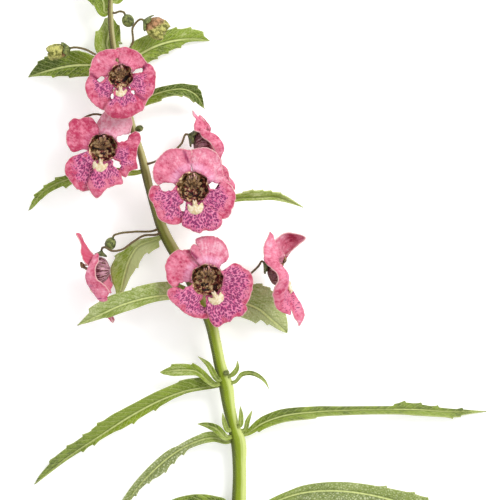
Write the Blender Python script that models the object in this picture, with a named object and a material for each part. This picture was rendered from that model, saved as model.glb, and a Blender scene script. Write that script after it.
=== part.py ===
"""One cut flowering stem of angelonia, lying on its back on a flat surface.

The stem runs along Y with its cut end at -Y and its growing tip at +Y, and the open flowers face up (+Z).
It rests on the tips of three leaves. Sizes below are in millimetres and are turned into metres by MM.
"""

import math

import bpy
import numpy as np
from mathutils import Matrix, Vector

MM = 0.001
CENTRE = Vector((-0.74, -0.64, 0.0))  # middle of the outline, which becomes the origin

BLADE = 0.62  # thickness of petals and leaves
SEAT = 0.35  # gap between a piece and what carries it

STEM_SIDES = 12
STEM_RINGS = 30
TUBE_SIDES = 10  # also two for each of the five sepals

PETIOLE_HALF = 0.6
PETIOLE_START = 1.2  # a leaf leaves the stem straight for this far
ROLL_REACHED = 0.25  # share of a leaf's length over which its roll comes in
LEAF_FOOT_ROWS = (0.0, 0.07, 0.16, 0.26)
SMOOTH_LEAF_ROWS = (0.0, 0.12, 0.3, 0.5, 0.7, 0.87)
TOOTH_OUT = 0.12  # a leaf tooth stands out this share of the half width
TOOTHED_FROM, TOOTHED_TO = 0.32, 0.93  # share of a leaf's length with teeth
TOOTH_POINT = 0.7  # share of a tooth's pitch at which its point lies
PEDICEL_RADIUS = 0.5
STALK_START = 0.9  # a stalk leaves the stem straight for this far
RINGS_A_POINT = 1.4

# Stem axis from the cut end to the growing tip: x, y, height, radius. The thicker places are the nodes.
STEM = [
    (-6.9, -90.4, 3.0, 2.25),
    (-6.6, -80.0, 3.5, 2.2),
    (-6.3, -71.0, 4.1, 2.1),
    (-6.2, -61.0, 4.8, 2.0),
    (-6.7, -53.0, 5.4, 2.2),
    (-7.8, -49.6, 5.7, 1.85),
    (-9.3, -43.3, 6.3, 1.85),
    (-10.3, -36.5, 7.0, 2.1),
    (-12.0, -30.7, 7.5, 1.75),
    (-13.3, -24.4, 8.0, 1.7),
    (-15.0, -17.2, 8.6, 1.8),
    (-18.3, -10.0, 9.2, 1.9),
    (-21.9, -2.5, 9.6, 1.8),
    (-26.7, 5.2, 10.0, 1.7),
    (-29.3, 10.3, 10.2, 1.6),
    (-31.5, 16.6, 10.4, 1.35),
    (-33.2, 22.6, 10.5, 1.25),
    (-34.5, 28.0, 10.6, 1.3),
    (-35.8, 33.1, 10.6, 1.12),
    (-38.0, 40.0, 10.6, 1.02),
    (-39.8, 47.0, 10.6, 1.0),
    (-41.7, 55.0, 10.5, 0.95),
    (-43.0, 60.6, 10.5, 1.0),
    (-44.0, 65.0, 10.4, 0.87),
    (-44.9, 74.8, 10.2, 0.8),
    (-44.8, 82.5, 10.0, 0.6),
]

# Each leaf: its seat on the stem (y, and the angle round the stem: 0 right, 90 up, 180 left), the points of
# its midrib from there on, the half widths left and right of the midrib, how far the blade is rolled about
# its midrib and its halves are folded up, in degrees, and the teeth along each edge.
LEAVES = {
    "leaf_top_left": {
        "seat": (75.6, 212),
        "midrib": [(-47.0, 78.6, 8.0), (-49.8, 83.5, 7.2), (-54.0, 88.7, 6.0)],
        "halves": (3.9, 2.8),
        "roll": 0,
        "fold": 14,
        "teeth": 3,
    },
    "leaf_top_right": {
        "seat": (78.8, -4),
        "midrib": [(-41.6, 82.4, 9.0), (-38.4, 89.2, 7.6)],
        "halves": (2.0, 1.8),
        "roll": 0,
        "fold": 16,
        "teeth": 2,
    },
    "leaf_under_tip": {
        "seat": (62.6, 268),
        "midrib": [(-45.8, 65.0, 7.8), (-45.3, 70.0, 7.2), (-45.0, 74.8, 6.4)],
        "halves": (3.9, 4.1),
        "roll": 0,
        "fold": 10,
        "teeth": 2,
    },
    "leaf_upper_left": {
        "seat": (60.6, 184),
        "midrib": [
            (-50.8, 59.7, 8.6), (-56.3, 59.5, 7.6), (-59.6, 59.0, 6.8),
            (-63.4, 58.1, 5.4), (-69.9, 56.2, 2.6),
        ],
        "halves": (3.6, 4.6),
        "roll": 0,
        "fold": 12,
        "teeth": 5,
    },
    "leaf_upper_right": {
        "seat": (60.6, -4),
        "midrib": [
            (-36.1, 62.9, 8.4), (-32.2, 65.0, 6.8), (-27.9, 66.6, 5.2),
            (-22.0, 67.6, 3.0), (-15.1, 67.3, 0.29),
        ],
        "halves": (3.9, 4.2),
        "roll": 0,
        "fold": 12,
        "teeth": 5,
    },
    "leaf_third_right": {
        "seat": (47.6, -6),
        "midrib": [
            (-33.0, 50.2, 11.2), (-27.9, 51.8, 11.6), (-22.8, 52.3, 9.6),
            (-19.0, 50.4, 7.0), (-16.7, 46.6, 4.4),
        ],
        "halves": (2.7, 2.9),
        "roll": -12,
        "fold": 26,
        "teeth": 3,
    },
    "leaf_fourth_left": {
        "seat": (27.9, 186),
        "midrib": [
            (-44.0, 27.6, 9.2), (-53.0, 26.6, 7.4), (-60.8, 24.2, 5.4),
            (-64.6, 22.2, 4.4), (-69.9, 15.9, 2.2),
        ],
        "halves": (2.5, 2.6),
        "roll": 0,
        "fold": 22,
        "teeth": 5,
    },
    "leaf_fifth_right": {
        "seat": (12.0, 0),
        "midrib": [
            (-18.0, 15.4, 8.8), (-7.3, 19.4, 7.6), (-0.8, 19.8, 6.8), (4.1, 20.0, 5.8),
            (13.1, 16.9, 3.0),
        ],
        "halves": (2.3, 2.0),
        "roll": 22,
        "fold": 28,
        "teeth": 5,
    },
    "leaf_fifth_left": {
        "seat": (8.6, 196),
        "midrib": [
            (-37.0, 4.8, 7.6), (-39.3, 1.1, 6.2), (-40.7, -3.0, 4.2), (-41.8, -7.6, 2.8),
            (-43.2, -11.9, 1.6),
        ],
        "halves": (4.4, 3.4),
        "roll": 0,
        "fold": 12,
        "teeth": 5,
    },
    "leaf_sixth_left": {
        "seat": (-9.9, 174),
        "midrib": [
            (-27.4, -9.7, 11.6), (-34.0, -10.4, 13.2), (-41.6, -12.6, 13.8),
            (-49.0, -16.0, 12.6), (-54.9, -18.6, 10.2),
        ],
        "halves": (2.6, 4.6),
        "roll": 6,
        "fold": 16,
        "teeth": 6,
    },
    "leaf_sixth_right": {
        "seat": (-10.6, -8),
        "midrib": [
            (-10.0, -10.2, 7.6), (-4.0, -12.2, 5.6), (-0.2, -13.9, 4.4),
            (2.9, -16.5, 3.2), (8.2, -21.1, 0.95),
        ],
        "halves": (6.2, 5.0),
        "roll": 0,
        "fold": 8,
        "teeth": 5,
    },
    "leaf_seventh_left": {
        "seat": (-36.3, 196),
        "midrib": [
            (-23.6, -38.8, 7.6), (-29.9, -41.2, 7.6), (-38.3, -45.6, 6.8),
            (-48.4, -52.2, 4.9), (-58.5, -59.0, 2.6), (-68.2, -66.8, 0.305),
        ],
        "halves": (2.7, 2.7),
        "roll": 0,
        "fold": 18,
        "teeth": 9,
    },
    "leaf_seventh_axil": {
        "seat": (-35.6, 152),
        "midrib": [(-19.5, -32.3, 8.9), (-24.0, -32.0, 8.6), (-30.3, -32.7, 7.0)],
        "halves": (1.9, 1.9),
        "roll": 0,
        "fold": 20,
        "teeth": 2,
    },
    "leaf_seventh_shoot_left": {
        "seat": (-34.4, 122),
        "midrib": [(-15.9, -30.0, 10.2), (-18.7, -27.9, 10.0)],
        "halves": (0.95, 0.95),
        "roll": 0,
        "fold": 18,
        "teeth": 0,
    },
    "leaf_seventh_shoot_right": {
        "seat": (-36.2, 24),
        "midrib": [(-5.2, -33.2, 9.4), (-2.9, -32.9, 9.8), (1.3, -35.2, 9.2), (2.9, -38.1, 8.2)],
        "halves": (0.75, 0.75),
        "roll": 0,
        "fold": 14,
        "teeth": 0,
    },
    "leaf_seventh_shoot_up": {
        "seat": (-34.2, 40),
        "midrib": [(-6.9, -31.6, 9.8), (-6.7, -29.2, 10.4)],
        "halves": (0.8, 0.8),
        "roll": 0,
        "fold": 18,
        "teeth": 0,
    },
    "leaf_eighth_right": {
        "seat": (-52.2, -4),
        "midrib": [
            (0.6, -48.3, 5.6), (5.5, -46.4, 5.9), (16.8, -44.8, 6.2), (27.2, -44.3, 5.8),
            (37.0, -44.1, 4.9), (47.7, -44.2, 3.6), (57.0, -44.8, 2.1),
            (68.5, -44.7, 0.27),
        ],
        "halves": (2.8, 2.8),
        "roll": -30,
        "fold": 20,
        "teeth": 9,
    },
    "leaf_eighth_left": {
        "seat": (-53.0, 186),
        "midrib": [
            (-14.3, -52.6, 5.6), (-20.7, -54.3, 5.7), (-26.4, -57.6, 5.2),
            (-31.8, -62.2, 4.3), (-36.6, -67.4, 3.3), (-43.4, -77.6, 1.5),
        ],
        "halves": (2.9, 2.9),
        "roll": 0,
        "fold": 18,
        "teeth": 7,
    },
    "leaf_eighth_axil_left": {
        "seat": (-51.6, 148),
        "midrib": [(-13.5, -49.5, 7.5), (-16.5, -48.5, 7.5), (-19.0, -48.3, 6.8)],
        "halves": (1.3, 1.3),
        "roll": 0,
        "fold": 18,
        "teeth": 0,
    },
    "leaf_eighth_shoot_left": {
        "seat": (-49.6, 130),
        "midrib": [(-10.9, -47.0, 8.7), (-11.2, -44.9, 9.2)],
        "halves": (0.8, 0.8),
        "roll": 0,
        "fold": 14,
        "teeth": 0,
    },
    "leaf_eighth_shoot_right": {
        "seat": (-49.2, 44),
        "midrib": [(-5.7, -46.4, 7.9), (-5.9, -42.9, 8.7)],
        "halves": (0.8, 0.8),
        "roll": 0,
        "fold": 14,
        "teeth": 0,
    },
    "leaf_eighth_axil_right": {
        "seat": (-51.0, 14),
        "midrib": [(-3.7, -47.4, 7.2), (-2.3, -44.1, 8.0)],
        "halves": (0.75, 0.75),
        "roll": 0,
        "fold": 14,
        "teeth": 0,
    },
    "leaf_ninth_left": {
        "seat": (-76.6, 184),
        "midrib": [
            (-13.5, -73.6, 4.0), (-19.5, -72.9, 4.2), (-27.0, -75.6, 3.4),
            (-33.0, -80.0, 2.4), (-37.4, -85.6, 1.6),
        ],
        "halves": (3.4, 3.4),
        "roll": 0,
        "fold": 12,
        "teeth": 5,
    },
    "leaf_ninth_right": {
        "seat": (-76.6, -2),
        "midrib": [
            (3.0, -72.6, 4.6), (11.7, -69.4, 5.4), (22.0, -68.5, 5.6), (32.3, -69.6, 5.0),
            (42.0, -72.0, 3.9), (51.0, -74.6, 2.7), (60.0, -77.6, 1.6),
        ],
        "halves": (3.0, 3.6),
        "roll": -14,
        "fold": 16,
        "teeth": 8,
    },
}

# Each flower: the middle of its throat, the way it faces, its up direction, its size, its five lobes as
# (direction, reach, width, rise half way, rise at the tip), how far up its back the calyx sits in degrees,
# the foot of its stalk on the stem (y, angle) and the points of the stalk from there on.
FLOWERS = {
    "flower_1": {
        "throat": (-41.6, 55.8, 20.6),
        "faces": (0, 0, 1),
        "up": (0, 1, 0),
        "size": 0.78,
        "lobes": [
            (140, 10.2, 9.2, -0.8, -1.0),
            (47, 9.8, 9.2, -1.8, -2.0),
            (-11, 10.7, 10.6, 0.6, 0.4),
            (-90, 12.6, 9.6, 2.7, 1.6),
            (206, 11.1, 10.6, 0.65, 0.4),
        ],
        "calyx_tilt": 25,
        "foot": (49.6, 96),
        "stalk": [(-41.9, 53.4, 14.2)],
    },
    "flower_2": {
        "throat": (-47.0, 34.6, 17.6),
        "faces": (0, 0, 1),
        "up": (-0.1, 1, 0),
        "size": 0.9,
        "lobes": [
            (144, 12.6, 11.4, -0.5, -0.8),
            (68, 12.2, 11.0, -1.5, -1.9),
            (-11, 11.3, 13.4, 0.45, 0.4),
            (-97, 15.1, 9.8, 2.3, 1.7),
            (219, 13.8, 11.2, -0.1, -0.2),
        ],
        "calyx_tilt": 25,
        "foot": (43.0, 140),
        "stalk": [
            (-44.6, 43.8, 11.4), (-50.4, 44.7, 11.2), (-53.2, 43.2, 11.2),
            (-52.4, 39.8, 11.2),
        ],
    },
    "flower_3": {
        "throat": (-20.0, 22.7, 22.4),
        "faces": (0, 0, 1),
        "up": (0.05, 1, 0),
        "size": 1.0,
        "lobes": [
            (135, 13.4, 13.0, -0.9, -1.0),
            (54, 12.4, 12.2, -1.9, -2.2),
            (-16, 13.0, 11.8, 0.45, 0.3),
            (-83, 13.8, 11.2, 1.7, 1.3),
            (204, 13.5, 12.4, 0.45, 0.3),
        ],
        "calyx_tilt": 25,
        "foot": (13.6, 38),
        "stalk": [(-25.4, 16.0, 12.6), (-22.4, 21.4, 13.4)],
    },
    "flower_4": {
        "throat": (-15.7, -4.9, 20.0),
        "faces": (0, 0, 1),
        "up": (-0.4, 0.9, 0),
        "size": 1.0,
        "lobes": [
            (157, 12.6, 12.0, -1.9, -2.2),
            (84, 13.1, 11.6, -0.6, -0.8),
            (-3, 13.5, 12.2, 0.45, 0.3),
            (-64, 14.6, 10.6, 2.0, 1.4),
            (223, 12.4, 13.4, 0.45, 0.3),
        ],
        "calyx_tilt": 25,
        "foot": (0.8, 62),
        "stalk": [(-20.4, 0.2, 12.9)],
    },
    "flower_5": {
        "throat": (-15.6, 36.2, 10.8),
        "faces": (0.97, 0.2, -0.1),
        "up": (-0.2, 0.98, 0),
        "size": 0.82,
        "lobes": [
            (118, 10.8, 8.6, -0.7, -2.2),
            (62, 10.4, 8.2, -2.0, -3.8),
            (-18, 8.8, 9.6, 1.6, 2.6),
            (-90, 15.2, 7.8, 3.8, 5.0),
            (200, 8.2, 9.8, 1.5, 3.0),
        ],
        "calyx_tilt": 36,
        "foot": (29.6, 18),
        "stalk": [(-27.6, 32.6, 12.0), (-23.6, 35.9, 11.8)],
    },
    "flower_6": {
        "throat": (-49.3, -2.0, 11.6),
        "faces": (-1, -0.05, 0),
        "up": (-0.05, 1, 0),
        "size": 0.8,
        "lobes": [
            (122, 10.6, 8.0, 1.2, 3.8),
            (62, 11.6, 7.8, 2.9, 5.6),
            (-22, 9.6, 12.2, 2.6, -0.8),
            (-104, 16.4, 7.4, -0.6, -4.4),
            (212, 9.4, 8.6, -1.9, -4.2),
        ],
        "calyx_tilt": 78,
        "foot": (9.6, 146),
        "stalk": [
            (-35.0, 8.3, 12.4), (-38.2, 6.4, 13.0), (-41.4, 4.2, 13.7),
            (-44.4, 3.8, 13.7), (-46.6, 4.9, 13.0),
        ],
    },
    "flower_7": {
        "throat": (6.6, -2.6, 16.4),
        "faces": (0.95, 0.3, 0),
        "up": (-0.3, 0.95, 0),
        "size": 0.8,
        "lobes": [
            (116, 13.3, 9.6, 0.2, 0.0),
            (60, 11.4, 10.0, 4.0, 8.4),
            (-22, 9.4, 10.4, 0.4, -1.6),
            (-90, 16.4, 8.2, 1.8, 0.6),
            (206, 11.0, 13.6, -0.6, -3.2),
        ],
        "calyx_tilt": 50,
        "foot": (-8.4, 50),
        "stalk": [
            (-12.6, -7.8, 12.2), (-7.4, -5.8, 12.8), (-2.7, -2.9, 14.2),
            (-0.4, -0.7, 15.6),
        ],
    },
}

POUCH_DEPTH = 5.2  # at size 1, from the throat to the back
POUCH_WIDE = 4.85
POUCH_TALL = 4.85
POUCH_BEHIND = 1.2  # the widest place lies this far behind the throat
POUCH_RINGS = 3
POUCH_SPACING = 0.8

CALYX_SEAT = 0.5  # between the sepals and the petals inside them
CALYX_NECK = 0.7
SEPAL_REACH = 40  # degrees round the pouch, at a sepal's tip
SEPAL_NOTCH = 22  # and between two sepals
SEPAL_CLEAR = 2  # from a sepal's tip to the rim of the throat
SEPAL_THINNED = 0.1  # at the tips
CUP_RINGS = (0.42, 0.8, 0.6)  # rings outside and inside the cup, as shares of the notches' reach
CUP_SHOULDER = 0.25
BUD_SEPAL_REACH, BUD_SEPAL_NOTCH = 78, 46

LOBE_STEPS = 4
BROAD_LOBE = 11
CORNER_DROP = 0.24  # how far a lobe's outer corners fall short of its tip
CORNER_NARROW = 0.24
SINUS_HALF = 8  # degrees of free rim on each side of the notch between two lobes

# The tooth at the root of the lower lobe: its place there as shares of the lobe's length and half width,
# and its heights at size 1.
TOOTH_ROOT, TOOTH_LENGTH, TOOTH_SIDE = 0.02, 0.3, 0.62
TOOTH_EDGE, TOOTH_DOME = 0.45, 0.9
HORN_SIDE, HORN_WIDE = 0.3, 0.2
HORN_AT, HORN_LONG = 0.1, 0.09
HORN_HIGH = 1.0

BUD_RINGS = (32, 60, 90, 120, 148)  # degrees from the foot of the bud
BUD_FURROW = 0.09  # depth between two petals or sepals, as a share of the radius
BUD_NECK = 0.15
BUD_FOOT = 0.4  # radius where a bud without a stalk starts, as a share of its radius

# Each bud: its middle, the way it points, its radius and length, the foot of its stalk on the stem and the
# stalk's points, and whether its petals already show. A bud with no middle sits right on its foot.
BUDS = {
    "bud_1": {
        "middle": (-39.6, 72.9, 10.8),
        "points": (0.5, -1, 0),
        "radius": 1.9,
        "length": 4.0,
        "foot": (75.2, 12),
        "stalk": [(-41.9, 75.7, 10.9)],
        "petals_show": False,
    },
    "bud_2": {
        "middle": (-31.0, 70.6, 13.8),
        "points": (0.85, -0.5, 0),
        "radius": 3.3,
        "length": 6.8,
        "foot": (61.6, 44),
        "stalk": [(-38.2, 66.2, 12.4), (-38.0, 71.0, 13.4)],
        "petals_show": True,
    },
    "bud_3": {
        "middle": (-61.0, 63.6, 11.8),
        "points": (-1, -0.25, 0),
        "radius": 2.4,
        "length": 6.2,
        "foot": (61.6, 128),
        "stalk": [(-48.7, 62.4, 12.2), (-52.6, 64.3, 12.0)],
        "petals_show": True,
    },
    "bud_4": {
        "middle": None,
        "points": None,
        "radius": 1.0,
        "length": 2.4,
        "foot": (40.0, 24),
        "stalk": [],
        "petals_show": False,
    },
    "bud_5": {
        "middle": (-44.9, 5.9, 10.9),
        "points": (-0.4, -1, 0),
        "radius": 1.75,
        "length": 3.9,
        "foot": (10.8, 158),
        "stalk": [(-38.0, 9.5, 12.0), (-42.6, 8.9, 11.4)],
        "petals_show": False,
    },
    "bud_6": {
        "middle": None,
        "points": None,
        "radius": 0.8,
        "length": 1.9,
        "foot": (-33.0, 62),
        "stalk": [],
        "petals_show": False,
    },
    "bud_tip": {
        "middle": (-44.8, 85.2, 10.0),
        "points": (0, 1, 0),
        "radius": 1.5,
        "length": 4.2,
        "foot": None,
        "stalk": [],
        "petals_show": False,
    },
}

COLOURS = {
    "stem": (0.30, 0.38, 0.09),
    "leaf": (0.12, 0.22, 0.05),
    "corolla": (0.72, 0.16, 0.25),
    "calyx": (0.16, 0.20, 0.06),
    "tooth": (0.78, 0.72, 0.34),
    "bud": (0.22, 0.28, 0.08),
    "bud_petals": (0.66, 0.30, 0.22),
}


def remove_scene_objects():
    for obj in list(bpy.data.objects):
        bpy.data.objects.remove(obj)


def material(name, colour, roughness=0.55):
    made = bpy.data.materials.new(name)
    made.use_nodes = True
    shader = made.node_tree.nodes["Principled BSDF"]
    shader.inputs["Base Color"].default_value = (*colour, 1.0)
    shader.inputs["Roughness"].default_value = roughness
    shader.inputs["Metallic"].default_value = 0.0
    return made


def add_object(name, points, faces, colour, thickness=0.0):
    """A mesh object from points in millimetres. With a thickness, the faces are a thin blade's middle."""
    mesh = bpy.data.meshes.new(name)
    mesh.from_pydata([(Vector(point) - CENTRE) * MM for point in points], [], faces)
    mesh.validate()
    mesh.update()
    mesh.shade_smooth()
    mesh.materials.append(material(name, COLOURS[colour]))
    obj = bpy.data.objects.new(name, mesh)
    bpy.context.scene.collection.objects.link(obj)
    if thickness:
        solidify = obj.modifiers.new("Thickness", "SOLIDIFY")
        solidify.thickness = thickness * MM
        solidify.offset = 0.0
    return obj


class Path:
    """A smooth curve through rows of numbers whose first three are a point, read by share of its length."""

    def __init__(self, rows):
        self.rows = np.array(rows, float)
        steps = np.linalg.norm(np.diff(self.rows[:, :3], axis=0), axis=1)
        self.marks = np.concatenate([[0.0], np.cumsum(steps)]) / steps.sum()
        self.slopes = np.gradient(self.rows, self.marks, axis=0)

    def row(self, share):
        i = int(np.clip(np.searchsorted(self.marks, share, side="right") - 1, 0, len(self.marks) - 2))
        gap = self.marks[i + 1] - self.marks[i]
        f = (share - self.marks[i]) / gap
        start, end = self.rows[i], self.rows[i + 1]
        leave, arrive = self.slopes[i] * gap, self.slopes[i + 1] * gap
        return (
            start * (2 * f**3 - 3 * f**2 + 1)
            + leave * (f**3 - 2 * f**2 + f)
            + end * (3 * f**2 - 2 * f**3)
            + arrive * (f**3 - f**2)
        )

    def point(self, share):
        return Vector(self.row(share)[:3])

    def direction(self, share):
        step = 0.004
        return (self.point(min(share + step, 1.0)) - self.point(max(share - step, 0.0))).normalized()


STEM_PATH = Path(STEM)


def stem_frame(share):
    """Axis point, radius, and the two directions across the stem: right and up."""
    row = STEM_PATH.row(share)
    along = STEM_PATH.direction(share)
    right = along.cross(Vector((0, 0, 1))).normalized()
    up = right.cross(along).normalized()
    return Vector(row[:3]), row[3], right, up


def stem_share(y):
    """The share of the stem's length at which its axis crosses this y."""
    low, high = 0.0, 1.0
    for _ in range(30):
        middle = (low + high) / 2
        if STEM_PATH.row(middle)[1] < y:
            low = middle
        else:
            high = middle
    return low


def seat_on_stem(y, angle):
    """A point just off the stem's skin, and the direction straight out from the axis there."""
    axis, radius, right, up = stem_frame(stem_share(y))
    out = right * math.cos(math.radians(angle)) + up * math.sin(math.radians(angle))
    return axis + out * (radius + SEAT), out


def ring_faces(rings, sides):
    """Quads between rings of equal size, given as lists of vertex numbers."""
    faces = []
    for near, far in zip(rings, rings[1:]):
        for k in range(sides):
            j = (k + 1) % sides
            faces.append((near[k], near[j], far[j], far[k]))
    return faces


def loft(rings, start=None, end=None):
    """Points and faces of a closed body through rings of points, with a point or a flat cap at each end."""
    sides = len(rings[0])
    points = [point for ring in rings for point in ring]
    numbers = [[row * sides + k for k in range(sides)] for row in range(len(rings))]
    faces = ring_faces(numbers, sides)
    for ring, tip, first in ((numbers[0], start, True), (numbers[-1], end, False)):
        order = ring[::-1] if first else ring
        if tip is None:
            faces.append(tuple(order))
            continue
        points.append(tip)
        last = len(points) - 1
        for k in range(sides):
            faces.append((order[k], order[(k + 1) % sides], last))
    return points, faces


def circle(middle, across, upward, radius, sides):
    ring = []
    for k in range(sides):
        angle = 2 * math.pi * k / sides
        ring.append(middle + across * (radius * math.cos(angle)) + upward * (radius * math.sin(angle)))
    return ring


def build_stem():
    rings = []
    for step in range(STEM_RINGS):
        share = step / (STEM_RINGS - 1)
        middle, radius, right, up = stem_frame(share)
        # Seen from the cut end towards the tip, right then up runs round the axis so that faces look out.
        rings.append(circle(middle, up, right, radius, STEM_SIDES))
    points, faces = loft(rings)
    add_object("stem", points, faces, "stem")


def leaf_rows(teeth):
    """Places along the leaf, each with 1 at a tooth's point and 0 elsewhere, and the tip left out."""
    if not teeth:
        return [(t, 0) for t in SMOOTH_LEAF_ROWS]
    rows = [(t, 0) for t in LEAF_FOOT_ROWS]
    step = (TOOTHED_TO - TOOTHED_FROM) / teeth
    for tooth in range(teeth):
        rows.append((TOOTHED_FROM + tooth * step, 0))
        rows.append((TOOTHED_FROM + (tooth + TOOTH_POINT) * step, 1))
    rows.append((TOOTHED_TO + 0.01, 0))
    return rows


def blade_outline(t):
    """Half width of a lance-shaped blade, as a share of its widest."""
    return math.sin(math.pi * t**0.8) ** 0.85 if 0 < t < 1 else 0.0


def blade_point(path, t, side, half, roll, fold, tooth):
    """A point of the blade: side runs from -1 at the right edge over 0 at the midrib to 1 at the left."""
    along = path.direction(t)
    left = Vector((0, 0, 1)).cross(along).normalized()
    normal = along.cross(left)
    turn = Matrix.Rotation(math.radians(roll), 3, along)
    left, normal = turn @ left, turn @ normal
    width = max(half * blade_outline(t), PETIOLE_HALF * (1 - t) ** 0.5)
    if abs(side) == 1:
        width += TOOTH_OUT * half * tooth
    out = abs(side) * width
    rise = math.radians(fold)
    level = math.copysign(out * math.cos(rise), side)
    return path.point(t) + left * level + normal * (out * math.sin(rise))


def build_leaf(name, spec):
    base, out = seat_on_stem(*spec["seat"])
    path = Path([base, base + out * PETIOLE_START] + [Vector(point) for point in spec["midrib"]])
    left_half, right_half = spec["halves"]
    sides = (1.0, 0.0, -1.0)
    points, faces = [], []
    rows = leaf_rows(spec["teeth"])
    for t, tooth in rows:
        for side in sides:
            half = left_half if side > 0 else right_half
            roll = spec["roll"] * min(1.0, t / ROLL_REACHED)
            points.append(blade_point(path, t, side, half, roll, spec["fold"], tooth))
    count = len(sides)
    for row in range(len(rows) - 1):
        for column in range(count - 1):
            a = row * count + column
            b, c, d = a + 1, a + count + 1, a + count
            if column < count // 2:
                faces += [(a, b, c), (a, c, d)]
            else:
                faces += [(a, b, d), (b, c, d)]
    tip = len(points)
    points.append(path.point(1.0))
    last = (len(rows) - 1) * count
    for column in range(count - 1):
        faces.append((last + column, last + column + 1, tip))
    add_object(name, points, faces, "leaf", BLADE)


class Flower:
    """The frame and the curved surfaces of one flower, in millimetres."""

    def __init__(self, spec):
        self.throat = Vector(spec["throat"])
        self.ahead = Vector(spec["faces"]).normalized()
        up = Vector(spec["up"])
        self.up = (up - self.ahead * up.dot(self.ahead)).normalized()
        self.across = self.up.cross(self.ahead)
        self.size = spec["size"]
        # Lobe directions of the front flowers are read from +X, so their frame is turned level again.
        if abs(self.ahead.z) > 0.9:
            self.across, self.up = Vector((1, 0, 0)), Vector((0, 1, 0))
        self.lobes = sorted(spec["lobes"])
        self.behind = POUCH_BEHIND * self.size
        self.axes = (
            POUCH_WIDE * self.size,
            POUCH_TALL * self.size,
            POUCH_DEPTH * self.size - self.behind,
        )

    def place(self, across, up, ahead):
        return self.throat + self.across * across + self.up * up + self.ahead * ahead

    def on_pouch(self, direction, outward=0.0):
        """The point of the pouch in this direction from its middle; the direction is given in the frame."""
        wide, tall, deep = (axis + outward for axis in self.axes)
        return self.place(direction.x * wide, direction.y * tall, direction.z * deep - self.behind)

    def pouch_point(self, polar, angle, outward=0.0):
        """Polar is 0 at the back of the pouch and grows towards the throat."""
        flat = math.sin(polar)
        way = Vector((flat * math.cos(angle), flat * math.sin(angle), -math.cos(polar)))
        return self.on_pouch(way, outward)

    def mouth_polar(self):
        return math.acos(-self.behind / self.axes[2])

    def mouth_radius(self):
        return self.axes[0] * math.sin(self.mouth_polar())

    def lobe_arc(self, index):
        """Start and end of a lobe's root on the rim, in degrees."""
        count = len(self.lobes)
        middle = self.lobes[index][0]
        before = self.lobes[index - 1][0] - (360 if index == 0 else 0)
        after = self.lobes[(index + 1) % count][0] + (360 if index == count - 1 else 0)
        return (before + middle) / 2 + SINUS_HALF, (after + middle) / 2 - SINUS_HALF

    def lowest_lobe(self):
        from_below = [abs((lobe[0] + 270) % 360 - 180) for lobe in self.lobes]
        return from_below.index(min(from_below))

    def lobe_point(self, index, side, t):
        """A point of a lobe: side runs from -1 to 1 across it and t from 0 at the rim to 1 at its edge."""
        middle, reach, width, rise_middle, rise_tip = self.lobes[index]
        start, end = self.lobe_arc(index)
        angle = math.radians((start + end) / 2 + side * (end - start) / 2)
        radius = self.mouth_radius()
        root = np.array((radius * math.cos(angle), radius * math.sin(angle)))
        out = np.array((math.cos(math.radians(middle)), math.sin(math.radians(middle))))
        beside = np.array((-out[1], out[0]))
        ahead = radius + (reach - radius) * t * (1 - CORNER_DROP * abs(side) ** 3 * t)
        sideways = side * width / 2 * (1 - CORNER_NARROW * t**3)
        open_share = 1 - (1 - t) ** 2
        flat = root * (1 - open_share) + (out * ahead + beside * sideways) * open_share
        half_way = 4 * t * (1 - t)
        rise = rise_middle * half_way + rise_tip * t * (2 * t - 1)
        return self.place(flat[0], flat[1], rise)


def build_corolla(name, flower):
    """Pouch and five lobes in one thin blade: each lobe grows from its own arc of the pouch's rim."""
    rim_angles, arcs = [], []
    columns_of = lobe_columns(flower)
    for index in range(len(flower.lobes)):
        start, end = flower.lobe_arc(index)
        columns = columns_of[index]
        arcs.append(range(len(rim_angles), len(rim_angles) + columns + 1))
        for column in range(columns + 1):
            rim_angles.append(math.radians(start + (end - start) * column / columns))
    sides = len(rim_angles)
    polar_end = flower.mouth_polar()
    rings = []
    for ring in range(1, POUCH_RINGS + 1):
        polar = polar_end * (ring / POUCH_RINGS) ** POUCH_SPACING
        rings.append([flower.pouch_point(polar, angle) for angle in rim_angles])
    points = [flower.pouch_point(0, 0)] + [point for ring in rings for point in ring]
    numbers = [[1 + row * sides + k for k in range(sides)] for row in range(POUCH_RINGS)]
    faces = [(0, numbers[0][k], numbers[0][(k + 1) % sides]) for k in range(sides)]
    for near, far in zip(numbers, numbers[1:]):
        for k in range(sides):
            j = (k + 1) % sides
            faces += [(near[k], far[k], far[j]), (near[k], far[j], near[j])]
    rim = numbers[-1]
    for index, arc in enumerate(arcs):
        last = [rim[k] for k in arc]
        columns = len(last) - 1
        for step in range(1, LOBE_STEPS + 1):
            row = []
            for column in range(columns + 1):
                row.append(len(points))
                side = 2 * column / columns - 1
                points.append(flower.lobe_point(index, side, step / LOBE_STEPS))
            for column in range(columns):
                a, b, c, d = last[column], row[column], row[column + 1], last[column + 1]
                faces += [(a, b, c), (a, c, d)] if column < columns / 2 else [(a, b, d), (b, c, d)]
            last = row
    add_object(name, points, faces, "corolla", BLADE)


def lobe_columns(flower):
    """Columns for each lobe, more for a broad one."""
    return [6 if lobe[2] > BROAD_LOBE else 5 for lobe in flower.lobes]


def stalk_rings(points, across, upward):
    """Rings of a stalk along the points, whose last ring lies along the two directions."""
    path = Path(points)
    count = round(len(points) * RINGS_A_POINT)
    rings = []
    for step in range(count, -1, -1):
        share = step / count
        along = path.direction(share)
        across = (across - along * across.dot(along)).normalized()
        upward = along.cross(across)
        rings.append(circle(path.point(share), across, upward, PEDICEL_RADIUS, TUBE_SIDES))
    return rings[::-1]


def stalk_points(foot, between, arrival, heading):
    """From just off the stem, over the points between, to the arrival point along the heading."""
    base, out = seat_on_stem(*foot)
    between = [Vector(point) for point in between]
    return [base, base + out * STALK_START] + between + [arrival - heading * PEDICEL_RADIUS, arrival]


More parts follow.
